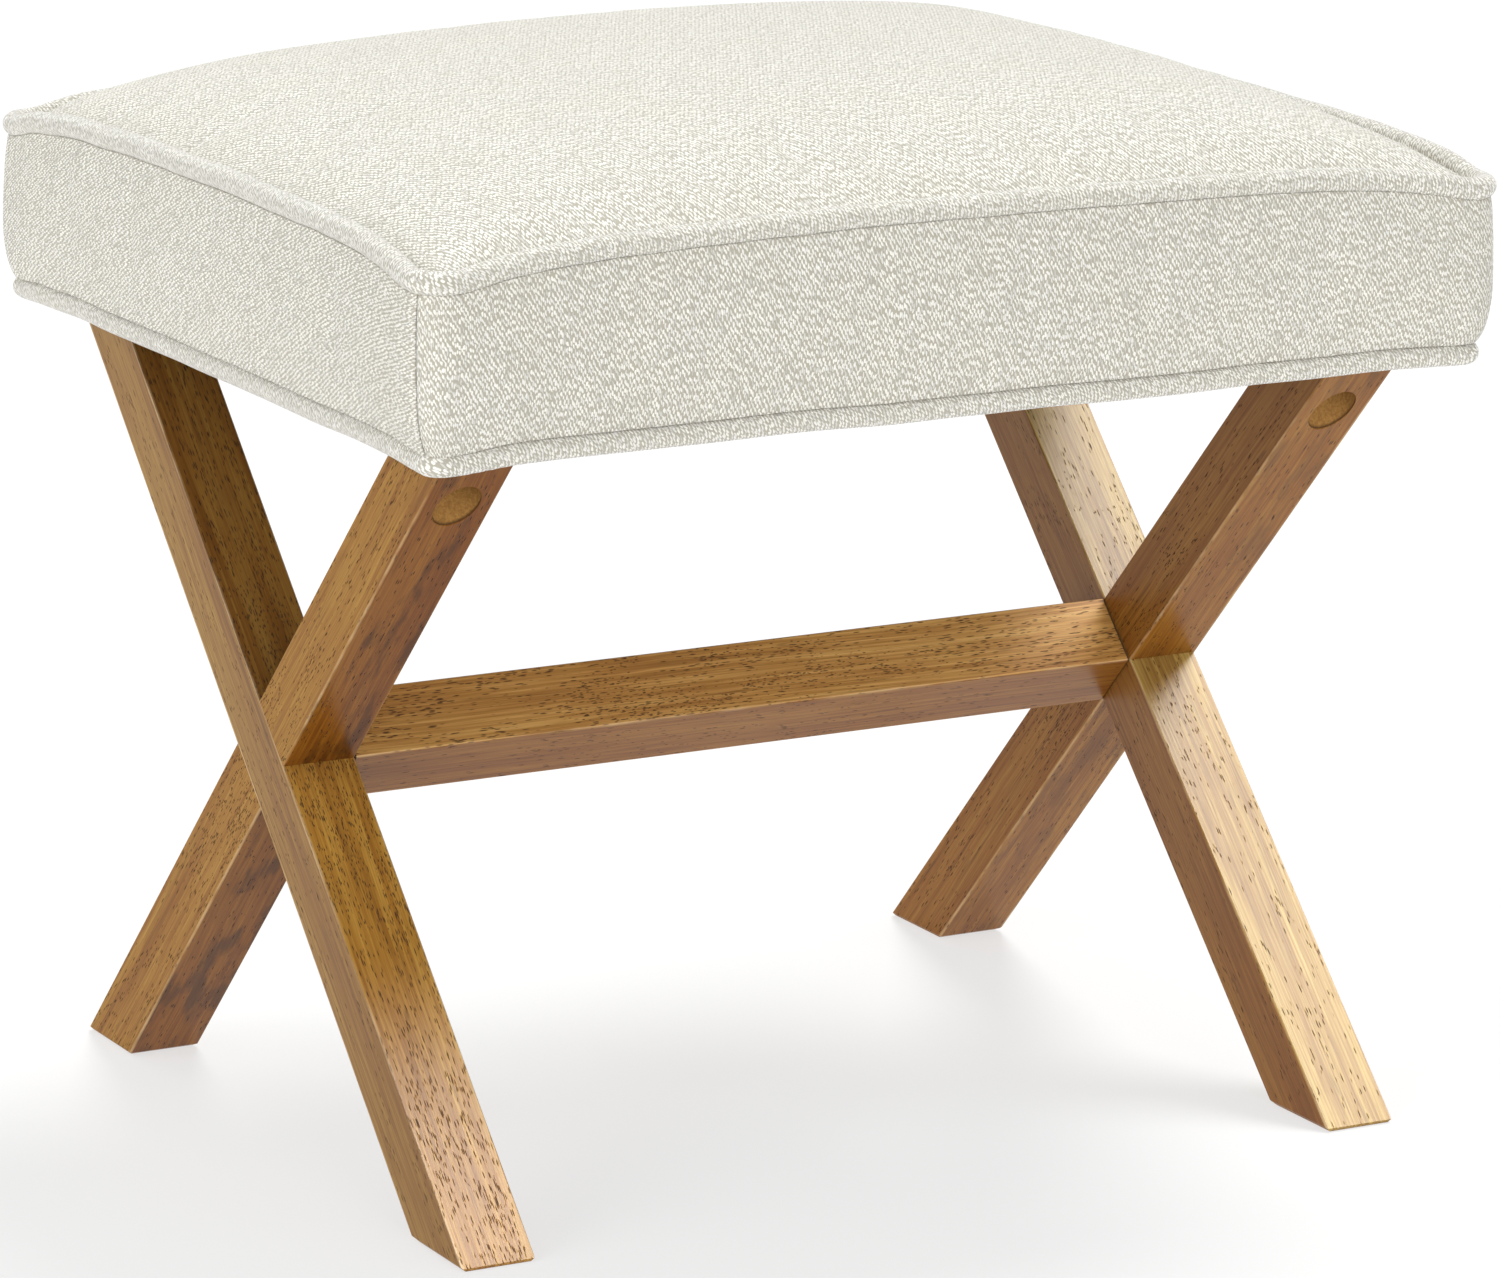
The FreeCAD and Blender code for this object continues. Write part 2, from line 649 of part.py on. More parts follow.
def swelling_panel(side, inset, thickness, floor, top_drop):
    wires = []
    for base, outward, rise in panel_stations(*side):
        top = welt_corner + rise - top_drop
        levels = (floor, (floor + top) / 2, top)
        outs = [reach - inset for reach in (foot_out, bulge_out, seam_out)]
        ins = [reach - thickness for reach in outs] if thickness else [core_radius + clear] * 3
        outer = [base + outward * reach + up * z for reach, z in zip(outs, levels)]
        back = [base + outward * reach + up * z for reach, z in zip(ins, levels)]
        edges = [Part.Arc(*outer).toShape(), Part.makeLine(outer[2], back[2])]
        edges.append(Part.Arc(*back).toShape() if thickness else Part.makeLine(back[2], back[0]))
        edges.append(Part.makeLine(back[0], outer[0]))
        wires.append(Part.Wire(Part.sortEdges(edges)[0]))
    return Part.makeLoft(wires, True, True)


def flange(along, outward, half, offset, end, depth):
    rim = foot_out - size["fabric_thickness"] / 2
    plan = [(-half, rim), (half, rim), (half, 0), (end, depth), (-end, depth), (-half, 0)]
    corners = [outward * (offset + out) + along * u + up * flange_bottom for u, out in plan]
    return Part.Face(Part.makePolygon(corners + corners[:1])).extrude(up * size["fabric_thickness"])


sides = {
    "front": (Vector(1, 0, 0), Vector(0, -1, 0), corner_x, corner_y),
    "right": (Vector(0, 1, 0), Vector(1, 0, 0), corner_y, corner_x),
    "back": (Vector(-1, 0, 0), Vector(0, 1, 0), corner_x, corner_y),
    "left": (Vector(0, -1, 0), Vector(-1, 0, 0), corner_y, corner_x),
}
turned_under = {corner_x: number_of(flange_x), corner_y: number_of(flange_y)}
for name, side in sides.items():
    panel = swelling_panel(side, 0, size["fabric_thickness"], flange_bottom, seam_drop)
    along, outward, half, offset = side
    panel = panel.fuse(flange(along, outward, half, offset, turned_under[half], turned_under[offset] - offset))
    soft_piece(name + "_boxing", panel.cut(cover_staples.Shape).cut(dust_staples.Shape))
wadding_inset = size["fabric_thickness"] + clear
wadding = [
    swelling_panel(side, wadding_inset, 0, underside, seam_drop + size["fabric_thickness"]) for side in sides.values()
]
soft_piece("side_wadding", wadding[0].multiFuse(wadding[1:]))

doc.recompute()
nodes = [
    "left_through_leg",
    "left_lapped_leg",
    "right_through_leg",
    "right_lapped_leg",
    "stretcher",
    "left_stretcher_dowels",
    "right_stretcher_dowels",
    "leg_bolts",
    "spring_washers",
    "flat_washers",
    "tee_nuts",
    "seat_base",
    "foam_block",
    "top_wadding",
    "side_wadding",
    "top_panel",
    "front_boxing",
    "right_boxing",
    "back_boxing",
    "left_boxing",
    "upper_welt",
    "upper_welt_cord",
    "lower_welt",
    "lower_welt_cord",
    "dust_cover",
    "cover_staples",
    "dust_cover_staples",
]
for item in doc.Objects:
    if "Invalid" in item.State or "Error" in item.State:
        raise RuntimeError("%s did not build: %s" % (item.Label, item.State))
os.makedirs("parts", exist_ok=True)
for label in nodes:
    shape = doc.getObjectsByLabel(label)[0].Shape
    if shape.isNull() or not shape.isValid() or not shape.Solids:
        raise RuntimeError("%s has no sound solid" % label)
    box = shape.BoundBox
    print("%-24s solids %3d volume %10.0f  x %7.1f %7.1f  y %7.1f %7.1f  z %6.1f %6.1f" % (
        label, len(shape.Solids), shape.Volume, box.XMin, box.XMax, box.YMin, box.YMax, box.ZMin, box.ZMax))
    shape.exportStep("parts/%s.step" % label)
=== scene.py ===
import math
import bpy
import bmesh
import numpy as np
from mathutils import Matrix, Vector
from mathutils import noise as field
from mathutils.bvhtree import BVHTree


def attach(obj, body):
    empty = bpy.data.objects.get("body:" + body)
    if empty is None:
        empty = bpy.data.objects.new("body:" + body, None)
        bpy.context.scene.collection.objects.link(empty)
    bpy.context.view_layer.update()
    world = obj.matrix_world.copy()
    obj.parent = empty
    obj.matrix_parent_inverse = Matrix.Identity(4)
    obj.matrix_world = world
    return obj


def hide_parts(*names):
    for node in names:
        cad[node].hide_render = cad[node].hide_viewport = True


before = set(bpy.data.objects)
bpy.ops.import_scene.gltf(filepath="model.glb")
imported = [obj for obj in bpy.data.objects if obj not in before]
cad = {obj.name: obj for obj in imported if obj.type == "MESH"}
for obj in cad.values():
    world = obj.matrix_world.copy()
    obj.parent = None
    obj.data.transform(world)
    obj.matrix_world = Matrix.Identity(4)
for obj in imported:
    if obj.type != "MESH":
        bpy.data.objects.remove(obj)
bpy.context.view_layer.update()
scene = bpy.context.scene
print("frame loaded:", len(cad), "nodes")

# camera at the photograph's angle
shot = {"azimuth": -27.994, "elevation": 13.613, "roll": 0.161, "distance": 3.3692, "target": (0.02717, 0.0, 0.19909),
        "sensor": 36, "lens": 176.2, "shiftX": -0.0203, "shiftY": 0.0079, "reach": 60}


def setCamera():
    az, el, roll = (math.radians(shot[k]) for k in ("azimuth", "elevation", "roll"))
    back = Vector((math.sin(az) * math.cos(el), -math.cos(az) * math.cos(el), math.sin(el)))
    flat = Vector((math.cos(az), math.sin(az), 0))
    tall = back.cross(flat)
    right = flat * math.cos(roll) + tall * math.sin(roll)
    data = bpy.data.cameras.new("shot")
    data.sensor_width, data.lens, data.clip_end = shot["sensor"], shot["lens"], shot["reach"]
    data.shift_x, data.shift_y = shot["shiftX"], shot["shiftY"]
    eye = bpy.data.objects.new("shot", data)
    eye.matrix_world = Matrix((right, back.cross(right), back)).transposed().to_4x4()
    eye.location = Vector(shot["target"]) + back * shot["distance"]
    scene.collection.objects.link(eye)
    scene.camera = eye


setCamera()


# node helpers: a value that is a socket gets linked, anything else is set
def put(tree, kind, ins=None, **props):
    made = tree.nodes.new(kind)
    for name, value in props.items():
        setattr(made, name, value)
    for key, value in (ins or {}).items():
        if isinstance(value, bpy.types.NodeSocket):
            tree.links.new(value, made.inputs[key])
        else:
            made.inputs[key].default_value = value
    return made


def treeOf(values):
    return next(value.id_data for value in values if isinstance(value, bpy.types.NodeSocket))


def shade(kind, ins, **props):  # in the tree that its values come from
    return put(treeOf(ins.values()), "ShaderNode" + kind, ins, **props)


def geo(tree, kind, ins=None, **props):
    return put(tree, "GeometryNode" + kind, ins, **props).outputs


def calc(operation, *values):
    return shade("Math", dict(enumerate(values)), operation=operation).outputs[0]


def times(first, second):
    return calc("MULTIPLY", first, second)


def timesPlus(first, second, third):
    return calc("MULTIPLY_ADD", first, second, third)


def minus(first, second):
    return calc("SUBTRACT", first, second)


def below(value, limit):
    return calc("LESS_THAN", value, limit)


def vec(operation, *values):
    return shade("VectorMath", dict(enumerate(values)), operation=operation).outputs[0]


def grown(vector, factor):
    return shade("VectorMath", {0: vector, 3: factor}, operation="SCALE").outputs[0]


def axes(vector):
    return shade("SeparateXYZ", {0: vector}).outputs


def ease(value, low, high, first=0.0, last=1.0):
    ins = {"Value": value, "From Min": low, "From Max": high, "To Min": first, "To Max": last}
    return shade("MapRange", ins, interpolation_type="SMOOTHSTEP").outputs[0]


def tint(code):
    parts = [int(code[i:i + 2], 16) / 255 for i in (0, 2, 4)]
    return tuple(c / 12.92 if c <= 0.04045 else ((c + 0.055) / 1.055) ** 2.4 for c in parts) + (1.0,)


def mixed(amount, first, second):  # a code becomes a colour
    first, second = (tint(c) if isinstance(c, str) else c for c in (first, second))
    return shade("Mix", {0: amount, 6: first, 7: second}, data_type="RGBA").outputs[2]


def between(amount, values):
    return shade("Mix", {0: amount, 2: values[0], 3: values[1]}).outputs[0]


def speckle(vector, scale, detail=2.0, rough=0.5, output=0):
    ins = {"Vector": vector, "Scale": scale, "Detail": detail, "Roughness": rough}
    return shade("TexNoise", ins).outputs[output]


def drift(vector, scale, detail):
    return vec("SUBTRACT", speckle(vector, scale, detail, output="Color"), (0.5, 0.5, 0.5))


def stretched(vector, x, y, z):
    return vec("MULTIPLY", vector, (x, y, z))


def streaky(vector, across, along, detail=2.0, rough=0.5):
    return speckle(stretched(vector, across, along, across), 1.0, detail, rough)


def newTree(name, kind, ins, outs):
    tree = bpy.data.node_groups.new(name, kind + "NodeTree")
    for way, sockets in (("INPUT", ins), ("OUTPUT", outs)):
        for label, sort in sockets.items():
            tree.interface.new_socket(label, in_out=way, socket_type="NodeSocket" + sort)
    return tree, tree.nodes.new("NodeGroupInput").outputs, tree.nodes.new("NodeGroupOutput").inputs


def floats(*labels):
    return dict.fromkeys(labels, "Float")


def give(tree, out, **values):
    for label, value in values.items():
        tree.links.new(value, out[label])
    return tree


def useGroup(group, **ins):
    return shade("Group", ins, node_tree=group).outputs


def newMaterial(name, **sockets):
    material = bpy.data.materials.new(name)
    material.use_nodes = True
    tree = material.node_tree
    tree.nodes.clear()
    surface = put(tree, "ShaderNodeBsdfPrincipled")
    for label, value in sockets.items():
        surface.inputs[label.replace("_", " ")].default_value = value
    tree.links.new(surface.outputs[0], put(tree, "ShaderNodeOutputMaterial").inputs[0])
    return material, tree, surface.inputs


def dress(surface, colour, rough, height=None, depth=0.0005, strength=1.0):
    ins = {"Base Color": colour, "Roughness": rough}
    if height is not None:
        bump = shade("Bump", {"Height": height, "Distance": depth, "Strength": strength})
        ins["Normal"] = bump.outputs[0]
    for label, value in ins.items():
        value.id_data.links.new(value, surface[label])


# slanting beads in staggered columns, as a coarse flat weave shows them
beadLook = {"wanders": ((430.0, 1.3), (90.0, 0.8)),  # fineness and share of the wander
            "start": 0.22, "stagger": 0.5, "alongShift": 0.36, "acrossShift": 0.24,
            "tilt": (2.0, -0.2), "wide": (0.25, 0.42), "long": (0.16, 0.29), "rise": (0.7, 0.5),  # spread, least
            "fuzz": (2600.0, 0.3), "edge": 0.6, "worn": (0.75, 0.5), "patch": 26.0}


def makeBeadGroup():
    tree, given, out = newTree(
        "wovenBeads", "Shader", {"Vector": "Vector", **floats("Column", "Bead", "Slant", "Wander")},
        floats("Height", "Gap", "Tone", "Patch"))
    place = given["Vector"]
    for scale, share in beadLook["wanders"]:
        push = grown(drift(given["Vector"], scale, 1.0), times(given["Wander"], share))
        place = vec("ADD", place, push)
    at = axes(place)
    across = calc("DIVIDE", at[0], given["Column"])
    column = calc("FLOOR", across)
    inColumn = minus(minus(across, column), 0.5)
    odd = calc("FLOORED_MODULO", column, 2.0)
    start = shade("TexWhiteNoise", {"W": column}, noise_dimensions="1D").outputs["Value"]
    start = timesPlus(start, beadLook["start"], times(odd, beadLook["stagger"]))
    along = calc("ADD", calc("DIVIDE", at[1], given["Bead"]), start)
    row = calc("FLOOR", along)
    inRow = minus(minus(along, row), 0.5)
    cell = shade("CombineXYZ", {0: column, 1: row}).outputs[0]
    dice = shade("TexWhiteNoise", {"Vector": cell}, noise_dimensions="2D").outputs["Color"]
    luck, second, third = shade("SeparateColor", {0: dice}).outputs
    tilt = times(given["Slant"], timesPlus(second, *beadLook["tilt"]))
    inRow = calc("ADD", inRow, timesPlus(third, beadLook["alongShift"], -beadLook["alongShift"] / 2))
    aside = timesPlus(luck, beadLook["acrossShift"], -beadLook["acrossShift"] / 2)
    aside = timesPlus(tilt, inRow, calc("ADD", inColumn, aside))
    wide, long = timesPlus(third, *beadLook["wide"]), timesPlus(luck, *beadLook["long"])
    far = calc("ADD", *(calc("POWER", calc("DIVIDE", step, half), 2.0)
                        for step, half in ((aside, wide), (inRow, long))))
    dome = calc("SQRT", calc("MAXIMUM", minus(1.0, far), 0.0))
    fuzz = speckle(given["Vector"], beadLook["fuzz"][0], 2.0, 0.6)
    height = times(dome, timesPlus(luck, *beadLook["rise"]))
    low = ease(dome, 0.0, beadLook["edge"], 1.0, 0.0)
    worn = ease(luck, beadLook["worn"][0], 1.0, 0.0, beadLook["worn"][1])
    return give(tree, out, Height=timesPlus(fuzz, beadLook["fuzz"][1], height), Tone=luck,
                Gap=calc("MAXIMUM", low, worn), Patch=speckle(given["Vector"], beadLook["patch"], 3.0))


# grain along Y of the given place, with long bands, fine fibres and short dark pores
grainLook = {"wander": (0.3, 9.0, 0.012),  # share along the grain, fineness, amount
             "bands": ((46, 2.2, 2.0, 0.5, 0.34), (420, 7, 3.0, 0.55, 0.3), (950, 13, 2.0, 0.5, 0.36)),
             "fibre": (2100, 45, 2.0, 0.6), "crowd": (120, 22), "streak": (260, 3.2, 1.0), "line": (0.012, 0.003),
             "flecks": ((1050, 330, 0.35), (1200, 190, 0.4), (900, 105, 0.3))}  # round ones, short ones, dashes


def makeGrainGroup():
    tree, given, out = newTree(
        "woodGrain", "Shader", {"Vector": "Vector", "Shift": "Vector", **floats("Pores", "EdgePores")},
        floats("Band", "Fibre", "Pore", "Line", "Side"))
    own = axes(vec("ABSOLUTE", given["Vector"]))
    onEdge = calc("GREATER_THAN", own[0], own[2])
    place = vec("ADD", given["Vector"], given["Shift"])
    along, scale, amount = grainLook["wander"]
    wander = drift(stretched(place, 1, along, 1), scale, 2.0)
    place = vec("ADD", place, stretched(wander, amount, 0.0, amount))
    band = 0.0
    for across, along, detail, rough, share in grainLook["bands"]:
        band = timesPlus(streaky(place, across, along, detail, rough), share, band)
    share = between(onEdge, (given["Pores"], given["EdgePores"]))
    share = times(share, ease(streaky(place, *grainLook["crowd"]), 0.28, 0.7, 0.35, 1.4))
    pore = 0.0
    nearMiddle, nearEnd = ease(own[1], 0.13, 0.05), ease(own[1], 0.04, 0.11)
    for (across, along, width), here in zip(grainLook["flecks"], (nearMiddle, 0.9, nearEnd)):
        flecks = shade("TexVoronoi", {
            "Vector": stretched(place, across, along, across), "Scale": 1.0, "Randomness": 1.0}).outputs
        lucky = shade("SeparateColor", {0: flecks["Color"]}).outputs[0]
        fleck = below(lucky, times(share, here))
        fleck = times(ease(flecks["Distance"], width, width * 0.5), fleck)
        pore = calc("MAXIMUM", pore, fleck)
    streak = calc("ABSOLUTE", minus(streaky(place, *grainLook["streak"]), 0.5))
    return give(tree, out, Band=band, Fibre=streaky(place, *grainLook["fibre"]), Side=onEdge, Pore=pore,
                Line=ease(streak, *grainLook["line"]))


# lighter arrises, partly where the finish is rubbed thin and partly a painted highlight along the edges, from a
# member's own section
arrisLook = {"half": 0.0175, "patches": (90, 30), "width": (0.0013, 0.0003)}


def makeArrisGroup():
    tree, given, out = newTree("rubbedArrisAndHighlight", "Shader", {"Vector": "Vector"}, floats("Edge"))
    at = axes(vec("ABSOLUTE", given["Vector"]))
    inner = minus(arrisLook["half"], calc("MINIMUM", at[0], at[2]))
    patchy = ease(streaky(given["Vector"], *arrisLook["patches"]), 0.35, 0.65, 0.15, 1.0)
    return give(tree, out, Edge=times(ease(inner, *arrisLook["width"]), patchy))


# faint scratches and dull patches on metal
def makeRubGroup():
    tree, given, out = newTree("rubbedMetal", "Shader", {"Vector": "Vector"}, floats("Dull", "Scratch"))
    dull = speckle(given["Vector"], 260.0, 4.0, 0.6)
    lines = speckle(stretched(given["Vector"], 300, 4000, 2600), 1.0)
    return give(tree, out, Dull=ease(dull, 0.35, 0.7), Scratch=ease(lines, 0.58, 0.72))


beadGroup, grainGroup = makeBeadGroup(), makeGrainGroup()
arrisGroup, rubGroup = makeArrisGroup(), makeRubGroup()


def objectPlace(tree, location=(0, 0, 0), turn=(0, 0, 0)):
    raw = put(tree, "ShaderNodeTexCoord").outputs["Object"]
    return shade("Mapping", {"Vector": raw, "Location": location, "Rotation": turn}).outputs[0]


# cover cloth: light nubbly yarn over shadowed gaps, a little warmer and cooler in patches
clothLook = {"yarn": "fffcf4", "cool": "f4f2ec", "warm": "faf5e8", "gap": "b9b4a5", "column": 0.00097,
             "bead": 0.00378, "slant": 0.7, "wander": 0.0009, "relief": 0.0005}


def clothMaterial(name, turn=0.0, finer=1.0, sheen=0.25):
    material, tree, surface = newMaterial(
        name, Roughness=0.92, Sheen_Weight=sheen, Sheen_Roughness=0.5, Specular_IOR_Level=0.25)
    over = put(tree, "ShaderNodeUVMap", uv_map="weave").outputs[0]
    over = shade("Mapping", {"Vector": over, "Rotation": (0, 0, turn)}).outputs[0]
    beads = useGroup(beadGroup, Vector=over, Column=clothLook["column"] * finer, Bead=clothLook["bead"] * finer,
                     Slant=clothLook["slant"], Wander=clothLook["wander"] * finer)
    yarn = mixed(beads["Tone"], clothLook["yarn"], clothLook["cool"])
    yarn = mixed(ease(beads["Patch"], 0.4, 0.7, 0.0, 0.35), yarn, clothLook["warm"])
    colour = mixed(beads["Gap"], yarn, clothLook["gap"])
    dress(surface, colour, timesPlus(beads["Tone"], -0.12, 0.98), beads["Height"], clothLook["relief"])
    return material


# stained wood, one material for each member so that the grain follows it, with painted shade and light on each member's
# faces
woodLook = {"tones": ((0.0, "785024"), (0.35, "9a6d33"), (0.6, "b08645"), (1.0, "c8a35e")),
            "red": "7d4c26", "edge": "e2c496", "smoke": "583c28", "pore": "38200e",
            "drilled": ("8f6634", "a87c42"), "sawn": ("6b4723", "8a6033"), "boreAt": (0.2165, 0.1685, 0),
            "boreRadius": 0.0107, "boreDepth": 0.0172, "boreAbove": 0.2, "boreRimShade": (0.0158, 0.0171, 0.0, 0.8),
            "footLevel": 0.0002, "footLightFade": (0.03, -0.06), "jointShadow": (0.0013, 0.0004, 0.95),
            "smokeStreaks": (95, 20, 5.0, 0.6), "torn": (800.0, 3.0, 0.7), "marks": {"Line": 0.3, "Pore": 0.9},
            "rubbedAndHighlight": 0.5, "relief": (0.0002, 0.5)}
lean = math.radians(45)
members = {  # place and turn of its own axes, start in the timber; pores, stain with painted face shade and light, and redness that is partly a painted shade tint, of two faces and the others
    "left_through_leg": {
        "place": (0.2165, -0.128, -0.128), "turn": (-lean, 0, 0), "start": (0.0, 0.0, 0.0), "pores": (0.66, 0.14),
        "stainAndFaceShade": ((0.74, 0.65, 0.51), (0.76, 0.73, 0.5)), "red": (0.0, 0.15), "smoke": 0.1, "gloss": 0.36,
        "foot": (1.5, 1.6, 1.4)},
    "left_lapped_leg": {
        "place": (0.2165, 0.128, -0.128), "turn": (lean, 0, 0), "start": (0.31, 0.7, 0.13), "pores": (0.14, 0.28),
        "stainAndFaceShade": ((0.64, 0.45, 0.17), (0.86, 0.77, 0.45)), "red": (0.22, 0.15), "smoke": 0.75, "gloss": 0.14},
    "right_through_leg": {
        "place": (-0.2165, 0.128, -0.128), "turn": (lean, 0, 0), "start": (0.53, 1.9, 0.37), "pores": (0.16, 0.2),
        "stainAndFaceShade": ((0.79, 0.63, 0.35), (0.8, 0.66, 0.42)), "red": (0.2, 0.3), "smoke": 0.35, "gloss": 0.16},
    "right_lapped_leg": {
        "place": (-0.2165, -0.128, -0.128), "turn": (-lean, 0, 0), "start": (0.77, 2.6, 0.61), "pores": (0.15, 0.12),
        "stainAndFaceShade": ((1.0, 1.18, 1.26), (0.72, 0.57, 0.33)), "red": (0.0, 0.3), "smoke": 0.0, "gloss": 0.32},
    "stretcher": {
        "place": (-0.128, 0.0, -0.128), "turn": (lean, 0, math.radians(90)), "start": (0.19, 3.3, 0.89),
        "pores": (0.15, 0.55), "stainAndFaceShade": ((0.71, 0.54, 0.29), (1.53, 1.53, 1.75)), "red": (0.2, 0.0), "smoke": 0.0,
        "gloss": 0.32, "butted": 0.1989},
}


def timberColour(look, place, grain):
    side, otherSide = grain["Side"], minus(1.0, grain["Side"])
    ramp = shade("ValToRGB", {0: ease(grain["Band"], 0.24, 0.76)})
    stops = ramp.color_ramp.elements
    for at, code in woodLook["tones"][1:-1]:
        stops.new(at)
    for stop, (at, code) in zip(stops, woodLook["tones"]):
        stop.position, stop.color = at, tint(code)
    # redder along some fibres and on some faces; the per-face redness is partly a painted shade tint
    redder = timesPlus(ease(grain["Fibre"], 0.4, 0.7), 0.3, between(side, look["red"]))
    colour = mixed(redder, ramp.outputs[0], woodLook["red"])
    smoke = streaky(vec("ADD", place, look["start"]), *woodLook["smokeStreaks"])
    smoke = times(ease(smoke, 0.48, 0.64, 0.0, look["smoke"]), otherSide)
    colour = mixed(smoke, colour, woodLook["smoke"])
    for mark, share in woodLook["marks"].items():
        colour = mixed(times(grain[mark], share), colour, woodLook["pore"])
    # painted face shade and light: each face class gets its own colour multiplier on top of the stain
    colour = vec("MULTIPLY", colour, mixed(side, *(stainAndFaceShade + (1,) for stainAndFaceShade in look["stainAndFaceShade"])))
    if "foot" in look:  # painted light: paler from the crossing down towards the foot, out of the seat's shade
        lower = times(ease(axes(place)[1], *woodLook["footLightFade"]), otherSide)
        colour = vec("MULTIPLY", colour, mixed(lower, (1, 1, 1, 1), look["foot"] + (1,)))
    # painted highlight along the arrises, partly rubbed finish
    edge = useGroup(arrisGroup, Vector=place)["Edge"]
    return mixed(times(edge, woodLook["rubbedAndHighlight"]), colour, woodLook["edge"])


def woodMaterial(name, look):
    material, tree, surface = newMaterial(name, Specular_IOR_Level=look["gloss"])
    place = objectPlace(tree, look["place"], look["turn"])
    pores, edgePores = look["pores"]
    grain = useGroup(grainGroup, Vector=place, Shift=look["start"], Pores=pores, EdgePores=edgePores)
    colour = timberColour(look, place, grain)
    own = axes(vec("ABSOLUTE", place))
    if "butted" in look:  # the shadowed joint at a butted end
        far, near, dark = woodLook["jointShadow"]
        shadowed = ease(own[1], look["butted"] - far, look["butted"] - near, 0.0, dark)
        colour = mixed(shadowed, colour, woodLook["pore"])
    raw = put(tree, "ShaderNodeTexCoord").outputs["Object"]
    around = vec("SUBTRACT", vec("ABSOLUTE", raw), woodLook["boreAt"])
    radius = shade("VectorMath", {0: stretched(around, 1, 1, 0)}, operation="LENGTH").outputs["Value"]
    depth, level = calc("MAXIMUM", own[0], own[2]), axes(raw)[2]
    bore = times(below(radius, woodLook["boreRadius"]), below(depth, woodLook["boreDepth"]))
    bore = times(bore, calc("GREATER_THAN", level, woodLook["boreAbove"]))
    torn = speckle(raw, *woodLook["torn"])  # the drilled hole shows torn, unstained wood, and a dark rim of painted shade on its wall
    drilled = mixed(ease(torn, 0.35, 0.65), *woodLook["drilled"])
    drilled = mixed(ease(depth, *woodLook["boreRimShade"]), drilled, woodLook["pore"])
    colour = mixed(bore, colour, drilled)
    sawn = mixed(ease(torn, 0.3, 0.7), *woodLook["sawn"])  # the end under each foot
    colour = mixed(below(level, woodLook["footLevel"]), colour, sawn)
    rough = timesPlus(grain["Fibre"], 0.12, timesPlus(grain["Pore"], 0.25, 0.24))
    rough = timesPlus(grain["Side"], 0.18, calc("MAXIMUM", rough, times(bore, 0.8)))
    height = minus(times(grain["Fibre"], 0.2), grain["Pore"])
    dress(surface, colour, rough, height, *woodLook["relief"])
    return material


def wear(name, material):
    for worn in cad[name].material_slots:
        worn.material = material


for name, look in members.items():
    wear(name, woodMaterial("stained_" + name, look))


# bare beech, plywood, plated steel and the hidden fillings
def bareWoodMaterial():
    material, tree, surface = newMaterial("bareBeech", Specular_IOR_Level=0.3)
    place = objectPlace(tree, turn=(0, 0, math.radians(90)))
    grain = useGroup(grainGroup, Vector=place, Pores=0.7, EdgePores=0.7)
    colour = mixed(grain["Band"], "c79a68", "e2c193")
    colour = mixed(times(grain["Pore"], 0.5), colour, "9a6c40")
    dress(surface, colour, timesPlus(grain["Fibre"], 0.2, 0.55), grain["Fibre"], 0.0002, 0.5)
    return material


def plywoodMaterial():
    material, tree, surface = newMaterial("plywood", Specular_IOR_Level=0.3)
    place = objectPlace(tree)
    grain = useGroup(grainGroup, Vector=place, Pores=0.6, EdgePores=0.2)
    ply = calc("FRACT", calc("DIVIDE", axes(place)[2], 0.006))  # plies of 3 mm, every other darker
    layer = ease(calc("ABSOLUTE", minus(ply, 0.5)), 0.2, 0.28)
    colour = mixed(grain["Band"], "b98f5c", "dcbd8c")
    colour = mixed(times(layer, 0.35), colour, "8a6236")
    colour = mixed(times(grain["Pore"], 0.5), colour, "6f4a26")
    dress(surface, colour, timesPlus(grain["Fibre"], 0.2, 0.6), grain["Fibre"], 0.0003, 0.6)
    return material


def steelMaterial(name, light, dark):
    material, tree, surface = newMaterial(name, Metallic=1.0)
    rub = useGroup(rubGroup, Vector=objectPlace(tree))
    colour = mixed(rub["Dull"], light, dark)
    rough = timesPlus(rub["Dull"], 0.22, timesPlus(rub["Scratch"], 0.12, 0.24))
    dress(surface, colour, rough, rub["Scratch"], 0.00005, 0.5)
    return material


def foamMaterial():
    material, tree, surface = newMaterial(
        "seatFoam", Specular_IOR_Level=0.15, Subsurface_Weight=0.1, Subsurface_Scale=0.004)
    place = objectPlace(tree)
    cells = shade("TexVoronoi", {"Vector": place, "Scale": 620.0}, feature="SMOOTH_F1").outputs["Distance"]
    colour = mixed(speckle(place, 18.0, 3.0), "ece2b8", "f3ecd0")
    colour = mixed(ease(cells, 0.35, 0.75, 0.5, 0.0), colour, "b9a873")
    dress(surface, colour, ease(cells, 0.0, 0.8, 0.85, 1.0), cells, 0.0008)
    return material


def fibreMaterial(name, first, second, scale):
    material, tree, surface = newMaterial(name, Specular_IOR_Level=0.2, Sheen_Weight=0.2)
    place = objectPlace(tree)
    swirl = stretched(speckle(place, 45.0, output="Color"), 0.02, 0.02, 0.02)
    threads = shade("TexWave", {"Vector": vec("ADD", place, swirl), "Scale": scale, "Distortion": 9.0,
                                "Detail": 3.0}).outputs["Fac"]
    clump = speckle(place, 70.0, 3.0)
    colour = mixed(threads, first, second)
    colour = mixed(ease(clump, 0.4, 0.75, 0.0, 0.4), colour, first)
    dress(surface, colour, ease(clump, 0.2, 0.8, 0.85, 1.0), threads, 0.0006)
    return material


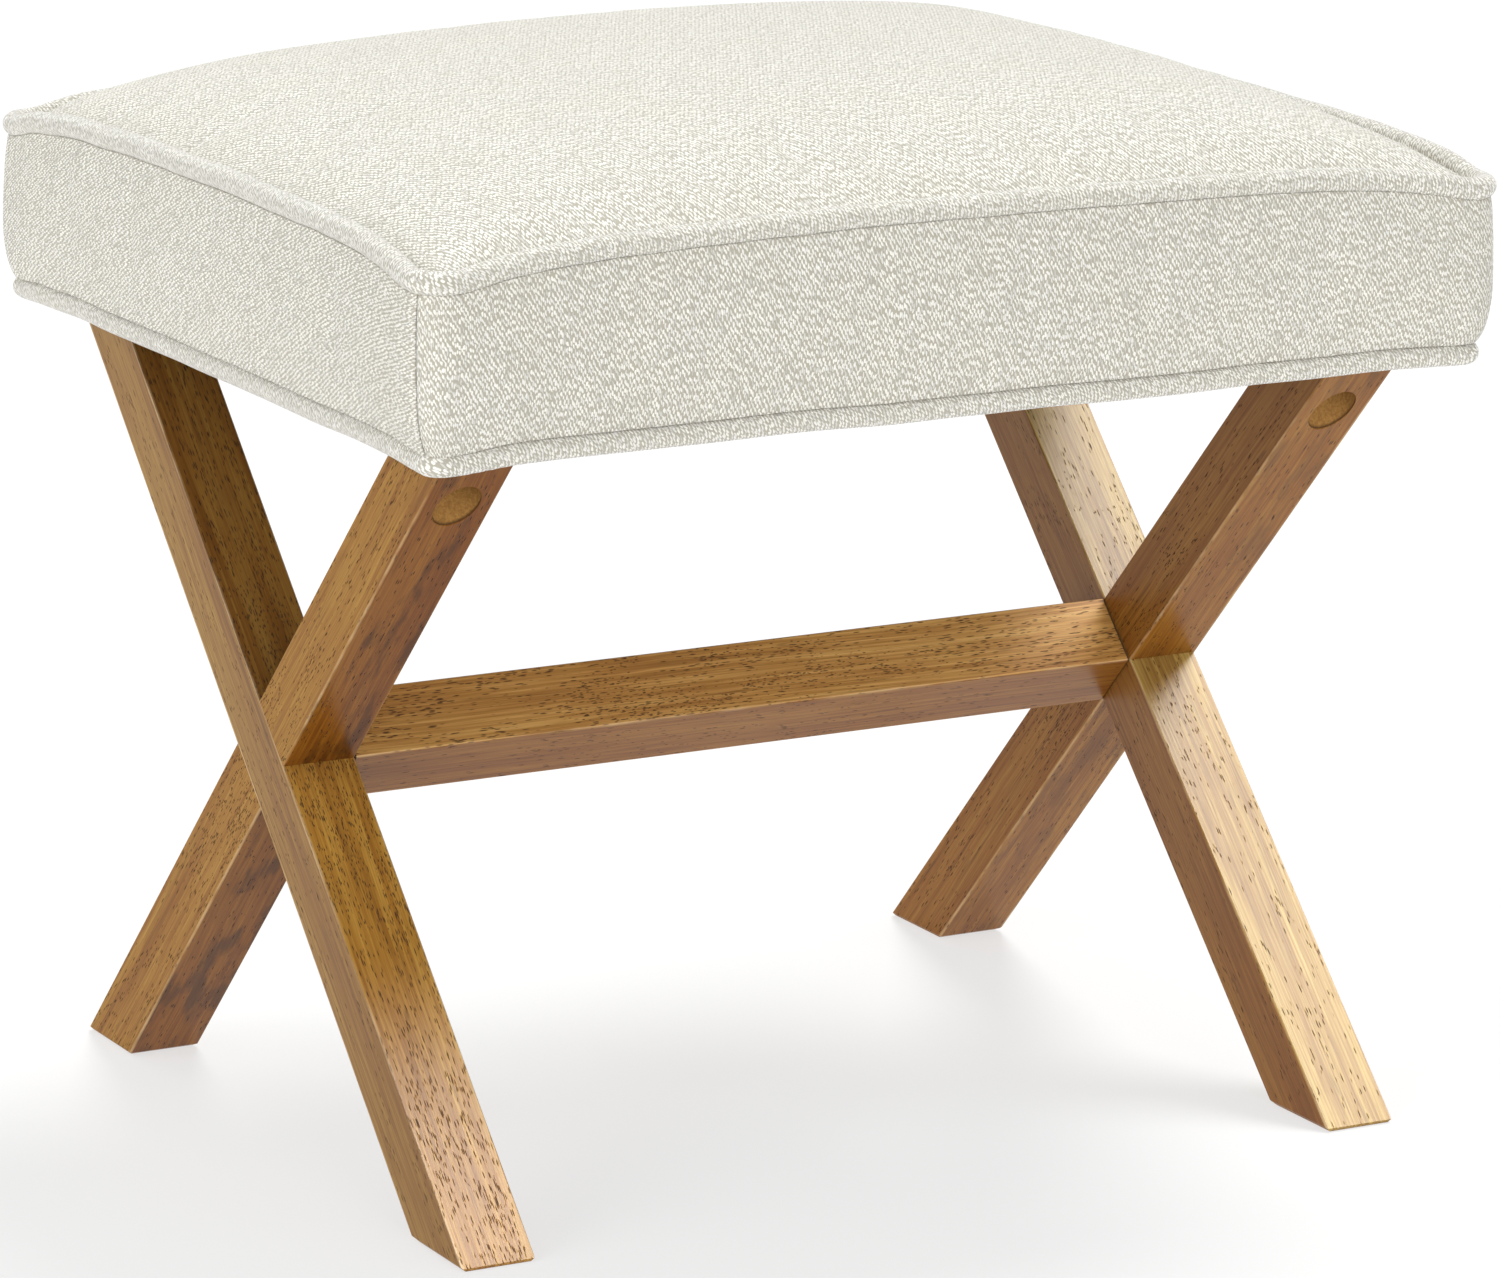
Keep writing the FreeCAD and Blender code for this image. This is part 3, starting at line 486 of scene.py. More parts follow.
panelCloth = clothMaterial("panelCloth")
weltCloth = clothMaterial("weltCloth", math.radians(38), 0.95, 0.6)
steel = steelMaterial("zincSteel", "b9bcbe", "83868a")
stapleWire = steelMaterial("stapleWire", "b4b0a6", "7f7a70")
foamFinish, waddingFinish = foamMaterial(), fibreMaterial("waddingFibre", "d9d9d4", "f4f4f0", 420.0)
cordFinish = fibreMaterial("cottonCord", "cfc4a8", "eee6d2", 900.0)
dustFinish = fibreMaterial("dustCloth", "1d1d1f", "3b3b3d", 700.0)
for name in ("left_stretcher_dowels", "right_stretcher_dowels"):
    wear(name, bareWoodMaterial())
wear("seat_base", plywoodMaterial())
for name in ("leg_bolts", "spring_washers", "flat_washers", "tee_nuts"):
    wear(name, steel)
print("materials made:", len(bpy.data.materials))


# mesh helpers
def addObject(name, data):
    made = bpy.data.objects.new(name, data)
    scene.collection.objects.link(made)
    return made


def addPiece(name, verts, faces, material, over=None):
    mesh = bpy.data.meshes.new(name)
    mesh.from_pydata([tuple(v) for v in verts], [], faces)
    mesh.materials.append(material)
    mesh.polygons.foreach_set("use_smooth", [True] * len(faces))
    if over is not None:
        layer = mesh.uv_layers.new(name="weave")
        for loop in mesh.loops:
            layer.data[loop.index].uv = over[loop.vertex_index]
    mesh.validate()
    return addObject(name, mesh)


def belong(piece, slotName, *nodes):
    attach(piece, "root")
    if nodes:
        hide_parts(*nodes)
    return piece


def thicken(piece, amount, levels=1):
    wall = piece.modifiers.new("wall", "SOLIDIFY")
    wall.thickness, wall.offset, wall.use_even_offset = amount, -1.0, False
    if levels:
        smooth = piece.modifiers.new("smooth", "SUBSURF")
        smooth.levels = smooth.render_levels = levels
        smooth.boundary_smooth = "PRESERVE_CORNERS"


def gridFaces(wide, tall):
    row = wide + 1
    return [(k, k + 1, k + 1 + row, k + row) for j in range(tall) for k in range(j * row, j * row + wide)]


def bandFaces(upper, lower):
    after = [*range(1, len(upper)), 0]
    return [(upper[k], lower[k], lower[n], upper[n]) for k, n in enumerate(after)]


def marks(points):
    return np.cumsum([0] + [(b - a).length for a, b in zip(points, points[1:])])


def soften(share):
    return share * share * (3 - 2 * share)


def surfaceOf(name):
    mesh = cad[name].data
    return BVHTree.FromPolygons([v.co.copy() for v in mesh.vertices], [tuple(p.vertices) for p in mesh.polygons])


def topOf(tree, x, y):
    hit = tree.ray_cast(Vector((x, y, 1.0)), Vector((0, 0, -1)))[0]
    return (hit or tree.find_nearest(Vector((x, y, cover["seamLevel"])))[0]).z


def ripple(x, y, size, seed):
    return field.noise(Vector((x / size, y / size, seed)))


# cover: one skin of top and sides, filled by simulation, then cut into the sewn panels
cover = {"cornerX": 0.245, "cornerY": 0.215, "panelOut": 0.0062, "panelRise": -0.001, "weltOut": 0.0113,
         "weltRadius": 0.0045, "seamLevel": 0.44, "sideCells": (88, 78), "cornerCells": 2, "floor": 0.3628,
         "seamDrop": 0.0044, "seamWave": 0.0006, "cornerReach": 0.03, "cornerDrop": 0.002, "footDrop": 0.003,
         "weltShare": 0.7, "footPull": 0.002, "footWave": 0.0009, "crownShift": 0.013, "probeIn": 0.0004,
         "valley": 0.002, "valleyCorner": 0.0012, "valleyRise": 0.004, "valleyWidth": 0.026, "flareReach": 0.075,
         "flares": {  # how far each corner stands out at upper seam, belly and lower seam, its share of the drop
             (-1, -1): (0.0008, 0.0030, 0.0030, 1.0), (1, -1): (0.0048, 0.0065, 0.0050, 0.3),
             (1, 1): (0.0020, 0.0040, 0.0035, 0.6), (-1, 1): (0.0005, 0.0042, 0.0038, 0.8)},
         "levels": (1, 0.99, 0.97, 0.93, 0.86, 0.77, 0.66, 0.55, 0.44, 0.33, 0.22, 0.13, 0.07, 0.03, 0.01, 0),
         "profile": ((0, 10.2), (0.01, 11.0), (0.03, 12.0), (0.07, 13.3), (0.13, 14.4), (0.22, 15.2), (0.33, 15.6),
                     (0.5, 15.7), (0.66, 15.6), (0.77, 15.5), (0.86, 15.3), (0.93, 15.0), (0.97, 14.7), (0.99, 14.4),
                     (1, 14.0)),
         "crownStart": 0.95, "bulgeStart": 0.85, "cap": 0.006, "frames": 20,
         "flareAt": (0, 0.08, 0.3, 0.6, 1), "footRipple": (0.045, 5.3),  # size and seed
         "seamRipples": ((1.0, 0.05, 3.1), (0.6, 0.02, 8.7)),  # share, size and seed
         # out and down or up of the edges turned in at the seams
         "turnDown": ((0.0058, -0.0024), (0.0056, -0.0045)), "turned": 0.0045, "allowance": 0.002,
         "tuck": ((0.0062, 0.0062), (0.0098, 0.0058), (0.0118, 0.0055)), "turnIn": (0.0072, 0.0009),
         "turnUnder": ((0.0045, 0.3629), (0.0005, 0.3619)),
         "seamStep": 0.2, "seamSink": 0.0014, "apart": 0.61, "cloth": 0.001}


def stations(half, cells):
    turn = cover["cornerCells"]
    low = [(-half, -i / turn) for i in range(turn, 0, -1)]
    high = [(half, i / turn) for i in range(1, turn + 1)]
    return low + [(half * (2 * i / cells - 1), 0.0) for i in range(cells + 1)] + high


def spread(sx, sy, out):
    (bx, eu), (by, ev) = sx, sy
    if eu and ev:
        return bx + out * eu * math.sqrt(1 - ev * ev / 2), by + out * ev * math.sqrt(1 - eu * eu / 2)
    return bx + out * eu, by + out * ev


acrossX = stations(cover["cornerX"], cover["sideCells"][0])
acrossY = stations(cover["cornerY"], cover["sideCells"][1])
nx, ny = len(acrossX) - 1, len(acrossY) - 1
ring = [(i, 0) for i in range(nx)] + [(nx, j) for j in range(ny)]
ring += [(i, ny) for i in range(nx, 0, -1)] + [(0, j) for j in range(ny, 0, -1)]
rim, count = [j * (nx + 1) + i for i, j in ring], len(ring)
cornerAt = [count - 1, nx + 1, nx + ny - 1, 2 * nx + ny + 1]  # the upright seams, a little round from each corner
weltTree, panelTree = surfaceOf("upper_welt"), surfaceOf("top_panel")


def nearCorner(base):
    gap = max(cover["cornerX"] - abs(base.x), cover["cornerY"] - abs(base.y))
    return soften(max(0.0, 1 - gap / cover["cornerReach"]))


def cornerOf(p):
    return cover["flares"][(1 if p.x > 0 else -1, 1 if p.y > 0 else -1)]


def footDip(base):
    return cover["footDrop"] * cornerOf(base)[3] * nearCorner(base)


def flare(p, v):
    upper, belly, lower, drop = cornerOf(p)
    away = math.hypot(abs(p.x) - cover["cornerX"], abs(p.y) - cover["cornerY"])
    steps = lower, (lower + belly) / 2, belly, 0.6 * belly + 0.4 * upper, upper
    amount = np.interp(v, cover["flareAt"], steps)
    step = float(amount) * soften(max(0.0, 1 - away / cover["flareReach"])) * math.sqrt(0.5)
    return Vector((math.copysign(step, p.x), math.copysign(step, p.y), 0))


def footWave(p):
    return cover["footWave"] * ripple(p.x, p.y, *cover["footRipple"])


def ringLine():
    rows = []
    for i, j in ring:
        base = Vector((acrossX[i][0], acrossY[j][0], 0))
        x, y = spread(acrossX[i], acrossY[j], 1.0)
        out = (Vector((x, y, 0)) - base).normalized()
        place = base + out * cover["weltOut"]
        wave = sum(share * ripple(place.x, place.y, *kind) for share, *kind in cover["seamRipples"])
        wave = cover["seamWave"] * wave - cover["cornerDrop"] * nearCorner(base)
        rows.append((base, out, topOf(weltTree, place.x, place.y) - cover["weltRadius"] + wave))
    return rows


ringRows = ringLine()


def bulge(v, swell):
    full = np.interp(v, *zip(*cover["profile"])) / 1000
    flat = (cover["profile"][0][1] * (1 - v) + cover["profile"][-1][1] * v) / 1000
    return flat + (full - flat) * swell


def startShape():
    points = []
    for sy in acrossY:
        for sx in acrossX:
            x, y = spread(sx, sy, cover["panelOut"])
            nearX, nearY = spread(sx, sy, cover["panelOut"] - cover["probeIn"])
            nearX -= cover["crownShift"] * max(0.0, 1 - (nearX / cover["cornerX"]) ** 2)
            points.append(Vector((x, y, topOf(panelTree, nearX, nearY))) + flare(Vector((x, y)), 1))
    edge = [points[k] for k in rim]
    edgeLevel = min(p.z for p in edge)
    for p in points:
        p.z = edgeLevel + (p.z - edgeLevel) * cover["crownStart"]
    for p, (base, out, level) in zip(edge, ringRows):
        p.z = level + cover["panelRise"] * (1 - nearCorner(base))
    for v in cover["levels"]:
        for base, out, level in ringRows:
            foot = cover["floor"] - footDip(base) + footWave(base)
            pull = cover["footPull"] * nearCorner(base) * (1 - v) ** 3
            p = base + flare(base, v) + out * (bulge(v, cover["bulgeStart"]) - pull)
            points.append(Vector((p.x, p.y, foot + v * (level - cover["seamDrop"] - foot))))
    points.append(Vector((0, 0, cover["floor"])))
    return points


def skinFaces():
    first = (nx + 1) * (ny + 1)
    centre = first + count * len(cover["levels"])
    loops = [rim] + [range(start, start + count) for start in range(first, centre, count)]
    faces = gridFaces(nx, ny)
    for upper, lower in zip(loops, loops[1:]):
        faces += bandFaces(upper, lower)
    faces += [(loops[-1][(k + 1) % count], loops[-1][k], centre) for k in range(count)]
    return faces, [*rim, *loops[1], *loops[-1], centre]


fillLook = {"quality": 6, "mass": 0.15, "tension_stiffness": 25, "compression_stiffness": 25, "shear_stiffness": 12,
            "bending_stiffness": 0.8, "use_pressure": True, "uniform_pressure_force": 4.0, "pin_stiffness": 1.0,
            "shrink_min": -0.004}


def fillSkin(points):
    faces, held = skinFaces()
    mesh = bpy.data.meshes.new("coverSkin")
    mesh.from_pydata(points, [], faces)
    skin = addObject("coverSkin", mesh)
    skin.vertex_groups.new(name="held").add(held, 1.0, "REPLACE")
    fill = skin.modifiers.new("fill", "CLOTH")
    for setting, value in fillLook.items():
        setattr(fill.settings, setting, value)
    fill.settings.effector_weights.gravity = 0
    fill.settings.vertex_group_mass = "held"
    fill.collision_settings.use_collision = False
    fill.point_cache.frame_start, fill.point_cache.frame_end = 1, cover["frames"]
    for step in range(1, cover["frames"] + 1):
        scene.frame_set(step)
    shape = skin.evaluated_get(bpy.context.evaluated_depsgraph_get()).to_mesh()
    moved = [v.co.copy() for v in shape.vertices]
    bpy.data.objects.remove(skin)
    scene.frame_set(1)
    for k, (before, after) in enumerate(zip(points, moved)):
        step = after - before
        if step.length > 1e-9:
            step *= cover["cap"] * math.tanh(step.length / cover["cap"]) / step.length
        moved[k] = before + step
    print("cover filled, furthest move %.2f mm" % (1000 * max((a - b).length for a, b in zip(points, moved))))
    return moved


skin = startShape()
skin = fillSkin(skin)
topPoints = skin[:(nx + 1) * (ny + 1)]


def sinkEdge():
    for k, p in enumerate(topPoints):
        (bx, eu), (by, ev) = acrossX[k % (nx + 1)], acrossY[k // (nx + 1)]
        inside = min(cover["cornerX"] - abs(bx), cover["cornerY"] - abs(by))
        inside += cover["panelOut"] * (1 - max(abs(eu), abs(ev)))
        depth = cover["valley"] + cover["valleyCorner"] * nearCorner(Vector((bx, by)))
        rise, fade = (soften(min(inside / cover[width], 1)) for width in ("valleyRise", "valleyWidth"))
        p.z -= depth * rise * (1 - fade)


sinkEdge()  # the panel dips behind the welt, more at the corners
boxRows = [skin[start:start + count] for start in range(len(topPoints), len(skin) - 1, count)]
flatSizes = {}  # each panel's cut size and area, as the cover needs them


def cutSheet(piece, flat, node):
    flatSizes[piece] = flat, sum(p.area for p in piece.data.polygons)
    thicken(piece, cover["cloth"])
    return belong(piece, "cover_fabric", node)


def makeTopPanel():
    verts, over = list(topPoints), [(p.x, p.y) for p in topPoints]
    faces, last = gridFaces(nx, ny), rim
    for out, drop in cover["turnDown"]:  # the edge turned down behind the welt
        now = range(len(verts), len(verts) + count)
        for base, way, level in ringRows:
            p = base + flare(base, 1) + way * out
            verts.append(Vector((p.x, p.y, level + drop)))
            over.append((p.x + way.x * cover["allowance"], p.y + way.y * cover["allowance"]))
        faces += bandFaces(last, now)
        last = now
    piece = addPiece("topPanel", verts, faces, panelCloth, over)
    runs = topPoints[ny // 2 * (nx + 1):][:nx + 1], topPoints[nx // 2::nx + 1]
    return cutSheet(piece, tuple(2 * cover["turned"] + float(marks(run)[-1]) for run in runs), "top_panel")


def makeBoxing(name, side):
    first = cornerAt[side]
    span = (cornerAt[(side + 1) % 4] - first) % count
    places = [(first + k) % count for k in range(span + 1)]
    columns = []
    for n, at in enumerate(places):
        base, way, level = ringRows[at]
        upper, lower = base + flare(base, 1), base + flare(base, 0)
        middle = [row[at] for row in boxRows]
        tuck = [upper + way * out + Vector((0, 0, level - drop)) for out, drop in cover["tuck"]]
        dip = footWave(base) - cover["weltShare"] * footDip(base)
        turnIn = [(cover["turnIn"][0], middle[-1].z + cover["turnIn"][1])]
        turnIn += [(out, z + dip) for out, z in cover["turnUnder"]]
        turnIn = [lower + way * out + Vector((0, 0, z)) for out, z in turnIn]
        column = tuck + middle + turnIn
        if n in (0, span):  # the upright seams are drawn in
            other = [row[places[1 if n == 0 else -2]] for row in boxRows]
            near = tuck + [p.lerp(q, cover["seamStep"]) for p, q in zip(middle, other)] + turnIn
            sunk = [p - way * cover["seamSink"] for p in column]
            columns += [sunk, near] if n == 0 else [near, sunk]
        else:
            columns.append(column)
    deep = len(columns[0])
    height = marks(columns[len(columns) // 2])
    along = marks([column[deep // 2] for column in columns])
    start = side * cover["apart"]
    over = [(h, u + start) if side % 2 else (u + start, -h) for u in along for h in height]  # across at right and left
    verts, faces = [p for column in columns for p in column], gridFaces(deep - 1, len(columns) - 1)
    piece = addPiece(name + "Boxing", verts, faces, panelCloth, over)
    return cutSheet(piece, (float(along[-1]), float(height[-1])), name + "_boxing")


topPanel = makeTopPanel()
for side, name in enumerate(("front", "right", "back", "left")):
    makeBoxing(name, side)
print("cover panels made")


# welts: cloth tubes that follow the seams, made with a node tree along the seam line
weltLook = {"lowerOut": 0.0074, "lowerLevel": 0.3582, "lump": 0.05, "lumpSize": 70.0, "merge": 0.00002,
            "welt": {"upper": 0.0052, "lower": 0.005}, "cord": {"upper": 0.0027, "lower": 0.0026},
            "strands": 3, "cloth": (16, 0.0, 0.0), "cotton": (12, 0.12, 260.0),  # sides, lobes and twist
            "flap": ((0.0042, 0.3602), (0.0034, 0.3607), (0.0022, 0.36135), (0.0008, 0.3615), (-0.0008, 0.36155)),
            "flapCloth": 0.0004, "flapStep": 0.002, "flapDraw": 0.15}


def store(tree, geometry, name, value, kind="FLOAT", domain="POINT"):
    ins = {"Geometry": geometry, "Name": name, "Value": value}
    return geo(tree, "StoreNamedAttribute", ins, data_type=kind, domain=domain)[0]


def stored(tree, name):
    return geo(tree, "InputNamedAttribute", {"Name": name}, data_type="FLOAT")[0]


def tubeTree():
    tree, given, result = newTree(
        "sewnTube", "Geometry",
        {"Geometry": "Geometry", "Radius": "Float", "Sides": "Int", "Lump": "Float", "Lobes": "Float",
         "Twist": "Float", "Material": "Material"}, {"Geometry": "Geometry"})
    line = geo(tree, "MeshToCurve", {"Mesh": given["Geometry"]})[0]
    line = geo(tree, "SetCurveNormal", {"Curve": line}, mode="Z_UP")[0]
    length = geo(tree, "SplineParameter")["Length"]
    lumps = put(tree, "ShaderNodeTexNoise", {"Scale": weltLook["lumpSize"], "Detail": 1.0}).outputs[0]
    thick = timesPlus(minus(lumps, 0.5), given["Lump"], 1.0)
    line = geo(tree, "SetCurveRadius", {"Curve": line, "Radius": thick})[0]
    line = geo(tree, "SetCurveTilt", {"Curve": line, "Tilt": times(length, given["Twist"])})[0]
    hoop = geo(tree, "CurveArc", {"Resolution": calc("ADD", given["Sides"], 1.0), "Radius": given["Radius"],
                                  "Start Angle": math.pi, "Sweep Angle": 2 * math.pi})[0]
    hoop = store(tree, hoop, "hoop", geo(tree, "SplineParameter")["Length"])
    turn = times(geo(tree, "SplineParameter")["Factor"], 2 * math.pi * weltLook["strands"])
    lobe = timesPlus(calc("COSINE", turn), given["Lobes"], 1.0)
    lobe = grown(geo(tree, "InputPosition")[0], lobe)
    hoop = geo(tree, "SetPosition", {"Geometry": hoop, "Position": lobe})[0]
    tube = geo(tree, "CurveToMesh", {"Curve": store(tree, line, "run", length), "Profile Curve": hoop})[0]
    place = shade("CombineXYZ", {0: stored(tree, "run"), 1: stored(tree, "hoop")}).outputs[0]
    tube = store(tree, tube, "weave", place, "FLOAT2", "CORNER")
    tube = geo(tree, "MergeByDistance", {"Geometry": tube, "Distance": weltLook["merge"]})[0]
    tube = geo(tree, "SetShadeSmooth", {"Geometry": tube})[0]
    tube = geo(tree, "SetMaterial", {"Geometry": tube, "Material": given["Material"]})[0]
    return give(tree, result, Geometry=geo(tree, "RealizeInstances", {"Geometry": tube})[0])


def throughNodes(name, verts, edges, tree, values, extra=None):
    mesh = bpy.data.meshes.new(name + "Line")
    mesh.from_pydata([tuple(v) for v in verts], edges, [])
    for label, numbers in (extra or {}).items():
        mesh.attributes.new(label, "FLOAT", "POINT").data.foreach_set("value", numbers)
    carrier = addObject(name + "Line", mesh)
    made = carrier.modifiers.new(name, "NODES")
    made.node_group = tree
    for item in tree.interface.items_tree:
        if item.in_out == "INPUT" and item.name in values:
            made[item.identifier] = values[item.name]
    result = bpy.data.meshes.new_from_object(carrier.evaluated_get(bpy.context.evaluated_depsgraph_get()))
    bpy.data.objects.remove(carrier)
    for label in ("run", "hoop", "turn"):
        if label in result.attributes:
            result.attributes.remove(result.attributes[label])
    result.name = name
    return addObject(name, result)


sewnTube = tubeTree()


def closedTube(name, points, radius, material, sides, lobes, twist):
    start = max(range(len(points)), key=lambda k: points[k].y - abs(points[k].x))  # joined at the middle of the back
    loop = points[start:] + points[:start + 1]
    return throughNodes(name, loop, [(k, k + 1) for k in range(len(loop) - 1)], sewnTube, {
        "Radius": radius, "Sides": sides, "Lump": weltLook["lump"], "Lobes": lobes, "Twist": twist,
        "Material": material})


def fineLine(out, level):
    line = []
    for k, (base, way, seam) in enumerate(ringRows):
        base2, way2, seam2 = ringRows[(k + 1) % count]
        for part in (0.0, 0.5) if way.dot(way2) > 0.9999 else (0.0, 0.2, 0.4, 0.6, 0.8):
            mid, at = way.lerp(way2, part).normalized(), base.lerp(base2, part)
            p = at + mid * out
            if level:  # the lower seam dips and rounds at the corners
                p -= mid * cover["footPull"] * nearCorner(base)
                p.z = level - cover["weltShare"] * footDip(base) + footWave(at)
            else:
                p.z = seam + (seam2 - seam) * part
            line.append(p + flare(at, 0 if level else 1))
    return line


seams = {"upper": fineLine(cover["weltOut"], None), "lower": fineLine(weltLook["lowerOut"], weltLook["lowerLevel"])}
for name, line in seams.items():
    tube = closedTube(name + "Welt", line, weltLook["welt"][name], weltCloth, *weltLook["cloth"])
    belong(tube, "welt_fabric", name + "_welt")
for name, line in seams.items():
    tube = closedTube(name + "WeltCord", line, weltLook["cord"][name], cordFinish, *weltLook["cotton"])
    belong(tube, "cotton_cord", name + "_welt_cord")


def makeFlap():
    verts, over, faces, run, deep = [], [], [], 0.0, len(weltLook["flap"])
    for k, (base, way, seam) in enumerate(ringRows):
        run += (base - ringRows[k - 1][0]).length
        for n, (out, z) in enumerate(weltLook["flap"]):
            inset = Vector((max(-out, 0) * -np.sign(base.x), max(-out, 0) * -np.sign(base.y), 0))
            p = base + way * max(out - cover["footPull"] * nearCorner(base), 0.0001) + inset
            p += flare(base, 0) * (1 - weltLook["flapDraw"] * n)
            verts.append((p.x, p.y, z - cover["weltShare"] * footDip(base) + footWave(base)))
            over.append((run, n * weltLook["flapStep"]))
        b = (k + 1) % count
        faces += [(k * deep + n, b * deep + n, b * deep + n + 1, k * deep + n + 1) for n in range(deep - 1)]
    piece = addPiece("lowerWeltFlap", verts, faces, weltCloth, over)
    thicken(piece, weltLook["flapCloth"], 0)
    belong(piece, "welt_fabric")


makeFlap()  # the welt's sewing allowance, turned in under the base
print("welts made")


# fillings under the cover, kept just inside it
filling = {"out": 0.0052, "coverGap": 0.0016, "wadding": 0.0052, "foamGap": 0.0075, "baseTop": 0.3779,
           "sideIn": 0.0057, "trimTop": 0.001, "trimFoot": 0.0012, "rowsKept": -2}


def gridLayer(drop):
    rows = []
    for k, p in enumerate(topPoints):
        x, y = spread(acrossX[k % (nx + 1)], acrossY[k // (nx + 1)], filling["out"])
        rows.append(Vector((x, y, p.z - drop)) + flare(Vector((x, y)), 1))
    return rows


def makeFilling():
    flat = gridFaces(nx, ny)
    pad = addPiece("topWadding", gridLayer(filling["coverGap"]), flat, waddingFinish)
    thicken(pad, filling["wadding"], 0)
    belong(pad, "wadding", "top_wadding")
    verts = gridLayer(filling["foamGap"])
    low = range(len(verts), len(verts) + count)
    verts += [Vector((verts[k].x, verts[k].y, filling["baseTop"])) for k in rim]
    foam = addPiece("foamBlock", verts, flat + bandFaces(rim, low) + [tuple(reversed(low))], foamFinish)
    belong(foam, "foam", "foam_block")
    rows, deep = boxRows[:filling["rowsKept"]], filling["sideIn"]
    outer = [[p - way * filling["coverGap"] for p, (b, way, z) in zip(row, ringRows)] for row in rows]
    inner = [[Vector((b.x + way.x * deep, b.y + way.y * deep, p.z)) + flare(b, 1)
              for p, (b, way, z) in zip(row, ringRows)] for row in rows]
    for at, step in ((0, -filling["trimTop"]), (-1, filling["trimFoot"])):
        for p in outer[at] + inner[at]:
            p.z += step
    layers = outer + inner[::-1]
    loops = [range(a * count, (a + 1) * count) for a in range(len(layers))]
    faces = [face for upper, lower in zip(loops, loops[1:] + loops[:1]) for face in bandFaces(upper, lower)]
    band = addPiece("sideWadding", [p for row in layers for p in row], faces, waddingFinish)
    belong(band, "wadding", "side_wadding")


makeFilling()
for piece, (flat, area) in flatSizes.items():
    print("%s cut %.0f x %.0f mm" % (piece.name, 1000 * flat[0], 1000 * flat[1]))

# dust cover: thin cloth under the base, drawn flat by its staples and slack between them
dust = {"halfX": 0.2437, "halfY": 0.21545, "innerX": 0.2349, "innerY": 0.20665, "rim": 0.3614, "well": 0.3624,
        "step": 0.004, "freeReach": 0.03, "freeStart": 0.3, "cells": (96, 86), "cloth": 0.0005,
        "slack": 0.0007, "crease": 0.0002, "slackRipple": (0.07, 2.2), "creaseRipple": (0.018, 6.4),  # size and seed
        "legX": 0.193, "legY": 0.12, "boltX": 0.2165, "boltY": 0.1685, "boltHole": 0.0045}


def makeDustCover():
    cx, cy = dust["cells"]
    verts, faces = [], []
    for j in range(cy + 1):
        for i in range(cx + 1):
            x, y = dust["halfX"] * (2 * i / cx - 1), dust["halfY"] * (2 * j / cy - 1)
            inside = min(dust["innerX"] - abs(x), dust["innerY"] - abs(y))
            share = min(max(inside / dust["step"] + 0.5, 0), 1)
            free = min(max(inside / dust["freeReach"] - dust["freeStart"], 0), 1)
            if abs(x) > dust["legX"] and abs(y) > dust["legY"]:
                free = 0
            sag = free * dust["slack"] * (0.5 + 0.5 * ripple(x, y, *dust["slackRipple"]))
            sag += dust["crease"] * ripple(x, y, *dust["creaseRipple"]) * (1 - share)
            verts.append(Vector((x, y, dust["rim"] + (dust["well"] - dust["rim"]) * share - sag)))
    for face in gridFaces(cx, cy):
        middle = (verts[face[0]] + verts[face[2]]) / 2
        if math.hypot(abs(middle.x) - dust["boltX"], abs(middle.y) - dust["boltY"]) > dust["boltHole"]:
            faces.append((face[0], face[3], face[2], face[1]))
    piece = addPiece("dustCover", verts, faces, dustFinish, [(p.x, p.y) for p in verts])
    thicken(piece, dust["cloth"], 1)
    belong(piece, "dust_cloth", "dust_cover")


makeDustCover()

# staples: one bent wire, set along each row
stapleRows = {"crown": 0.010, "wire": 0.0007, "width": 0.0012, "bend": (0.0009, 0.0006), "uneven": 0.12,
              # half lengths, level, how far the legs rise and how many along each side
              "coverStaples": (0.2473, 0.2173, 0.3618, 0.008, (9, 8)),
              "dustCoverStaples": (0.2397, 0.21145, 0.3610, 0.0088, (6, 5))}


def stapleWireMesh(rises):
    half, wire, width = stapleRows["crown"] / 2, stapleRows["wire"] / 2, stapleRows["width"] / 2
    inward, up = stapleRows["bend"]
    line = [(wire - half, rises), (wire - half, up), (inward - half, -wire)]
    line += [(-u, z) for u, z in reversed(line)]
    verts, faces = [], []
    for n, (u, z) in enumerate(line):
        a, b = Vector(line[max(n - 1, 0)]), Vector(line[min(n + 1, len(line) - 1)])
        side = Vector(((b - a).y, -(b - a).x)).normalized() * wire
        for s, w in ((1, -width), (1, width), (-1, width), (-1, -width)):
            verts.append((u + side.x * s, w, z + side.y * s))
    for n in range(0, len(verts) - 4, 4):
        faces += [(n + k, n + (k + 1) % 4, n + 4 + (k + 1) % 4, n + 4 + k) for k in range(4)]
    faces += [(3, 2, 1, 0), tuple(range(len(verts) - 4, len(verts)))]
    mesh = bpy.data.meshes.new("stapleWire")
    mesh.from_pydata(verts, [], faces)
    work = bmesh.new()
    work.from_mesh(mesh)
    bmesh.ops.recalc_face_normals(work, faces=work.faces)
    work.to_mesh(mesh)
    work.free()
    return mesh


